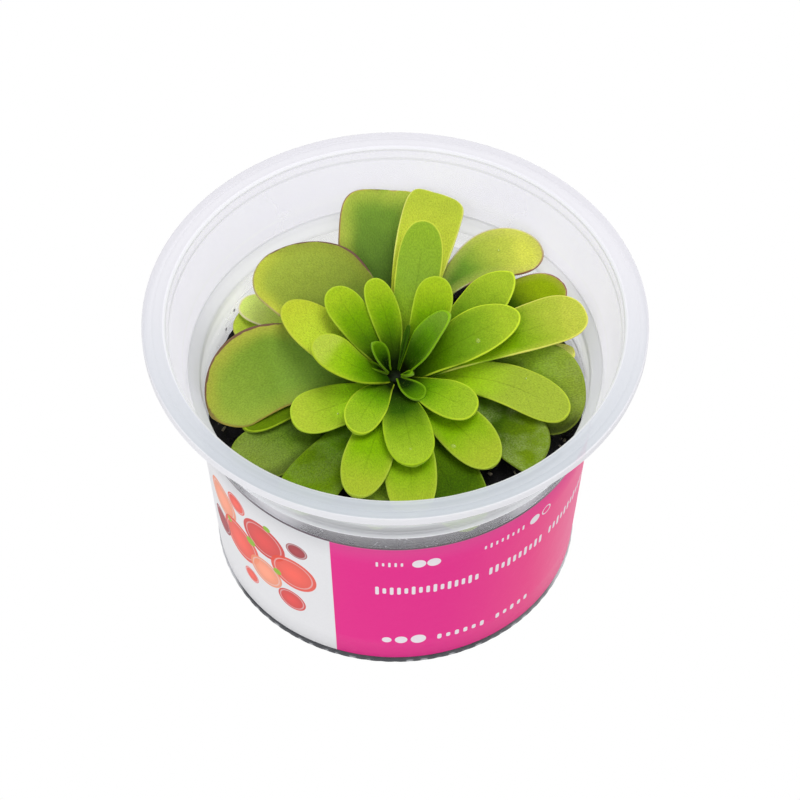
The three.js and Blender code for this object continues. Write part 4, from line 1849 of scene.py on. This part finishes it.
OUTER_LEAVES = (
    Leaf(
        "outer_leaf_back", Skin.BROAD, 92.5, 42.6, 17, 16, -7, -5, -2, widest=0.56, blunt=5.49, skew=0.35,
        lean=0.03,
    ),
    Leaf(
        "outer_leaf_back_right", Skin.FLUSHED, 77, 44.5, 11, 36.5, 44.5, -71.5, 26.5, widest=0.82,
        blunt=1.93, skew=0.28, lean=-0.05, taper=10.0,
    ),
    Leaf("outer_leaf_right_upper", Skin.BLUSHED, 26.5, 39.5, 15.5, 16, 3, 8.5, -5.5, widest=0.62),
    Leaf(
        "outer_leaf_back_left", Skin.EDGED, 137.5, 37.5, 23, 32, 26, -2, 1.5, widest=0.73, blunt=1.81,
        skew=-0.21, lean=0.07,
    ),
    Leaf("outer_leaf_left_hidden", Skin.PALE, 133, 37.5, 9, 3, 3, 29, 5, widest=0.8, lift=0.8),
    Leaf("outer_leaf_left_lowest", Skin.OLIVE, 147, 36.5, 16, 1, 1, 5, 0),
    Leaf(
        "outer_leaf_left", Skin.WIDE, 167, 39.2, 18.5, 17, 21, 59, -40, widest=0.73, blunt=1.8, skew=-0.3,
        lean=0.1, curl=0.18, stain=0.4,
    ),
    Leaf("outer_leaf_left_under", Skin.UNDER, 178, 32, 8, 6, 8, 49, 0, widest=0.78, lift=0.5),
    Leaf("outer_leaf_left_low", Skin.MATT, 199, 36.5, 13.5, 2, 3, 30.5, -4, widest=0.8, skew=0.2),
    Leaf("outer_leaf_front_left", Skin.SHADED, 238, 36.5, 12, 5, 7, -1.5, 0, widest=0.79, lift=0.6),
    Leaf("outer_leaf_front", Skin.DULL, 264, 34, 12, 2, 3, 0, 0),
    Leaf("outer_leaf_front_right", Skin.DEEP, 293, 37, 14, 3, 5, 0, 0),
    Leaf(
        "outer_leaf_right_low", Skin.DUSTED, 328, 34, 13.5, 9.5, 13, -5, 7.5, widest=0.81, skew=0.35,
        lean=-0.18,
    ),
    Leaf(
        "outer_leaf_right", Skin.DULL, 351, 37.6, 19.5, 8.5, 3, -4.5, 28, widest=0.75, blunt=2.2,
        skew=0.22, lean=-0.06,
    ),
    Leaf("outer_leaf_right_hidden", Skin.STRAW, 4, 35.7, 7.5, 12, 8, 9, -8, widest=0.75, lift=0.6),
)
MIDDLE_LEAVES = (
    Leaf(
        "middle_leaf_back", Skin.YELLOW, 84, 43.2, 12.5, 41.5, 47.5, -7, 12.5, widest=0.82, blunt=3.42,
        skew=-0.35, lean=-0.03,
    ),
    Leaf("middle_leaf_back_inner", Skin.TALL, 71, 33, 9.5, 44, 24, 15, 0, widest=0.7),
    Leaf(
        "middle_leaf_right_back", Skin.INNER, 20, 32, 10.5, 26.5, 8, 39, -7.5, widest=0.71, blunt=1.85,
        skew=0.23, lean=0.05,
    ),
    Leaf("middle_leaf_right_inner", Skin.INNER, 17.5, 28, 11, 40.5, 26.5, -2, 12, widest=0.67, blunt=1.84),
    Leaf("middle_leaf_right_upper", Skin.ARCHED, 13, 40, 11, 26.5, 23.5, 2, 11, widest=0.82, skew=0.07),
    Leaf("middle_leaf_right", Skin.GROWN, 4, 36, 9.5, 17, 24, -46, 18, widest=0.72),
    Leaf("middle_leaf_front_right", Skin.FRESH, 320, 28, 10.5, 10.5, 18.5, -18, 10),
    Leaf("middle_leaf_front", Skin.FRESH, 281, 34, 10.5, 8, 12, -12, 0),
    Leaf("middle_leaf_front_left", Skin.FRESH, 256, 30.5, 10, 12, 14, 0, -2),
    Leaf("middle_leaf_left", Skin.BRIGHT, 217, 22.5, 10.5, 14, 16, -16, -12, widest=0.7),
    Leaf(
        "middle_leaf_left_back", Skin.LEMON, 165.5, 26.5, 13, 33.5, 20.5, -30.5, 13, widest=0.63,
        blunt=1.91, lean=0.05,
    ),
)
HEART_LEAVES = (
    Leaf("heart_leaf_back", Skin.HEART, 95, 19.5, 6.5, 50, 26, 26, -3, widest=0.69),
    Leaf("heart_leaf_back_left", Skin.HEART, 138, 21, 8, 44, 22, -10, -5, widest=0.69),
    Leaf("heart_leaf_left", Skin.PALE_TIP, 206, 19, 8.5, 42, 16, -66, -6, widest=0.61),
    Leaf("heart_leaf_front_left", Skin.YOUNG, 236, 17.5, 8, 20, 20, 18, -15, widest=0.62),
    Leaf("heart_leaf_front", Skin.ROOTED, 278, 23.5, 10, 14, 16, 3, 0, widest=0.68),
    Leaf("heart_leaf_right", Skin.YOUNG, 321, 18.5, 8.5, 20, 22, 8, 14, widest=0.7),
    Leaf("heart_leaf_back_right", Skin.HEART, 35, 21.5, 8, 48, 20, 58, 6, widest=0.73),
    Leaf("heart_leaf_folded", Skin.SPROUT, 19, 17.5, 7, 58, 10, 14, -10, widest=0.54, curl=0.35),
    Leaf(
        "heart_leaf_cupped", Skin.BUD, 298, 8, 4.6, 13, 10, 18, -4, widest=0.71, curl=0.45, wave=0.05,
        lift=1.1,
    ),
    Leaf("heart_leaf_rolled", Skin.BUD, 175, 5.4, 1.9, 36, 10, 0, 0, curl=0.3, wave=0.0, lift=0.9),
    Leaf(
        "heart_leaf_upright", Skin.BUD, 157, 7.6, 3.8, 63, 10, -30, 11, widest=0.64, curl=0.6, wave=0.0,
        lift=0.9,
    ),
    Leaf("heart_leaf_thin", Skin.THIN, 66, 10, 1.2, 62, 8, 0, 0, curl=0.3, wave=0.0, lift=0.5),
    Leaf("heart_leaf_bud", Skin.BUD, 334, 3.2, 1.7, 44, 10, 0, 0, curl=0.2, wave=0.0, lift=1.3),
)
WHORLS = (
    Whorl("outer_leaves", "old_leaf", 42.7, 41.7, 44.4, 5.4, 2.6, OUTER_LEAVES, Glands(12000)),
    Whorl("middle_leaves", "grown_leaf", 44.7, 43.9, 46.2, 3.9, 2.6, MIDDLE_LEAVES, Glands(11000)),
    Whorl("heart_leaves", "young_leaf", 46.6, 46.0, 47.6, 2.7, 0.0, HEART_LEAVES, Glands(6000)),
)


# ---- the studio -------------------------------------------------------------------------------


@dataclass(frozen=True)
class Softbox:
    """An area light that points at a place above the cup."""

    name: str
    place: tuple[float, float, float]
    size: float
    power: float

    def build(self, target: Vector) -> None:
        """Hangs the light, in metres.

        Args:
            target: where it points.
        """
        data = bpy.data.lights.new(self.name, "AREA")
        data.shape, data.size, data.energy = "DISK", self.size, self.power
        lamp = bpy.data.objects.new(self.name, data)
        lamp.location = self.place
        lamp.rotation_euler = (target - Vector(self.place)).to_track_quat("-Z", "Y").to_euler()
        bpy.context.scene.collection.objects.link(lamp)


@dataclass
class Studio:
    """The camera, the pale floor and the soft lights."""

    look_at: tuple[float, float, float] = (0.95, 0.0, 39.2)
    distance: float = 600.0
    elevation: float = 51.37
    lens: float = 132.2
    sensor: float = 36.0
    floor_size: float = 4.0
    sky: float = 0.64
    boxes: tuple[Softbox, ...] = (
        Softbox("top_softbox", (0.3, 0.2, 1.3), 0.9, 9.0),
        Softbox("front_softbox", (-0.6, -1.1, 0.8), 0.8, 4.0),
    )

    def build(self) -> None:
        """Sets up everything round the object."""
        self.camera()
        self.floor()
        target = Vector((0, 0, 40)) * MM
        for box in self.boxes:
            box.build(target)
        world = bpy.data.worlds.new("studio_sky")
        world.use_nodes = True
        background = world.node_tree.nodes["Background"]
        background.inputs["Color"].default_value = (1, 1, 1, 1)
        background.inputs["Strength"].default_value = self.sky
        bpy.context.scene.world = world
        bpy.context.scene.view_settings.view_transform = "Standard"

    def camera(self) -> None:
        """Makes the scene's camera."""
        tilt = math.radians(self.elevation)
        data = bpy.data.cameras.new("camera")
        data.lens, data.sensor_width = self.lens, self.sensor
        eye = bpy.data.objects.new("camera", data)
        target = Vector(self.look_at) * MM
        eye.location = target + Vector((0, -math.cos(tilt), math.sin(tilt))) * self.distance * MM
        eye.rotation_euler = (target - eye.location).to_track_quat("-Z", "Y").to_euler()
        bpy.context.scene.collection.objects.link(eye)
        bpy.context.scene.camera = eye

    def floor(self) -> None:
        """Lays the floor, level with the underside of the foot."""
        mesh = bmesh.new()
        bmesh.ops.create_grid(mesh, x_segments=1, y_segments=1, size=self.floor_size / MM / 2)
        paint = Paint("studio_floor", {
            "Base Color": (0, 0, 0, 1), "Roughness": 1.0, "Specular IOR Level": 0.0,
            "Emission Color": (1, 1, 1, 1), "Emission Strength": 1.0,
        })
        floor = to_piece(mesh, "studio_floor", paint.material)


def main() -> None:
    """Builds every part in order."""
    logging.basicConfig(level=logging.INFO, format="%(name)s: %(message)s")
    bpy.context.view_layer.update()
    cup = GrowingCup()
    Studio().build()
    cup.build()
    PrintedLabel(cup).build()
    GrowingMedium(cup).build()
    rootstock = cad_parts["rootstock"]
    rootstock.data.materials.clear()
    rootstock.data.materials.append(ROOT_BARK.material())
    for whorl in WHORLS:
        whorl.build()
        log.info("%s: %d leaves", whorl.node, len(whorl.leaves))
    Dew().build(WHORLS)


if __name__ == "__main__":
    main()
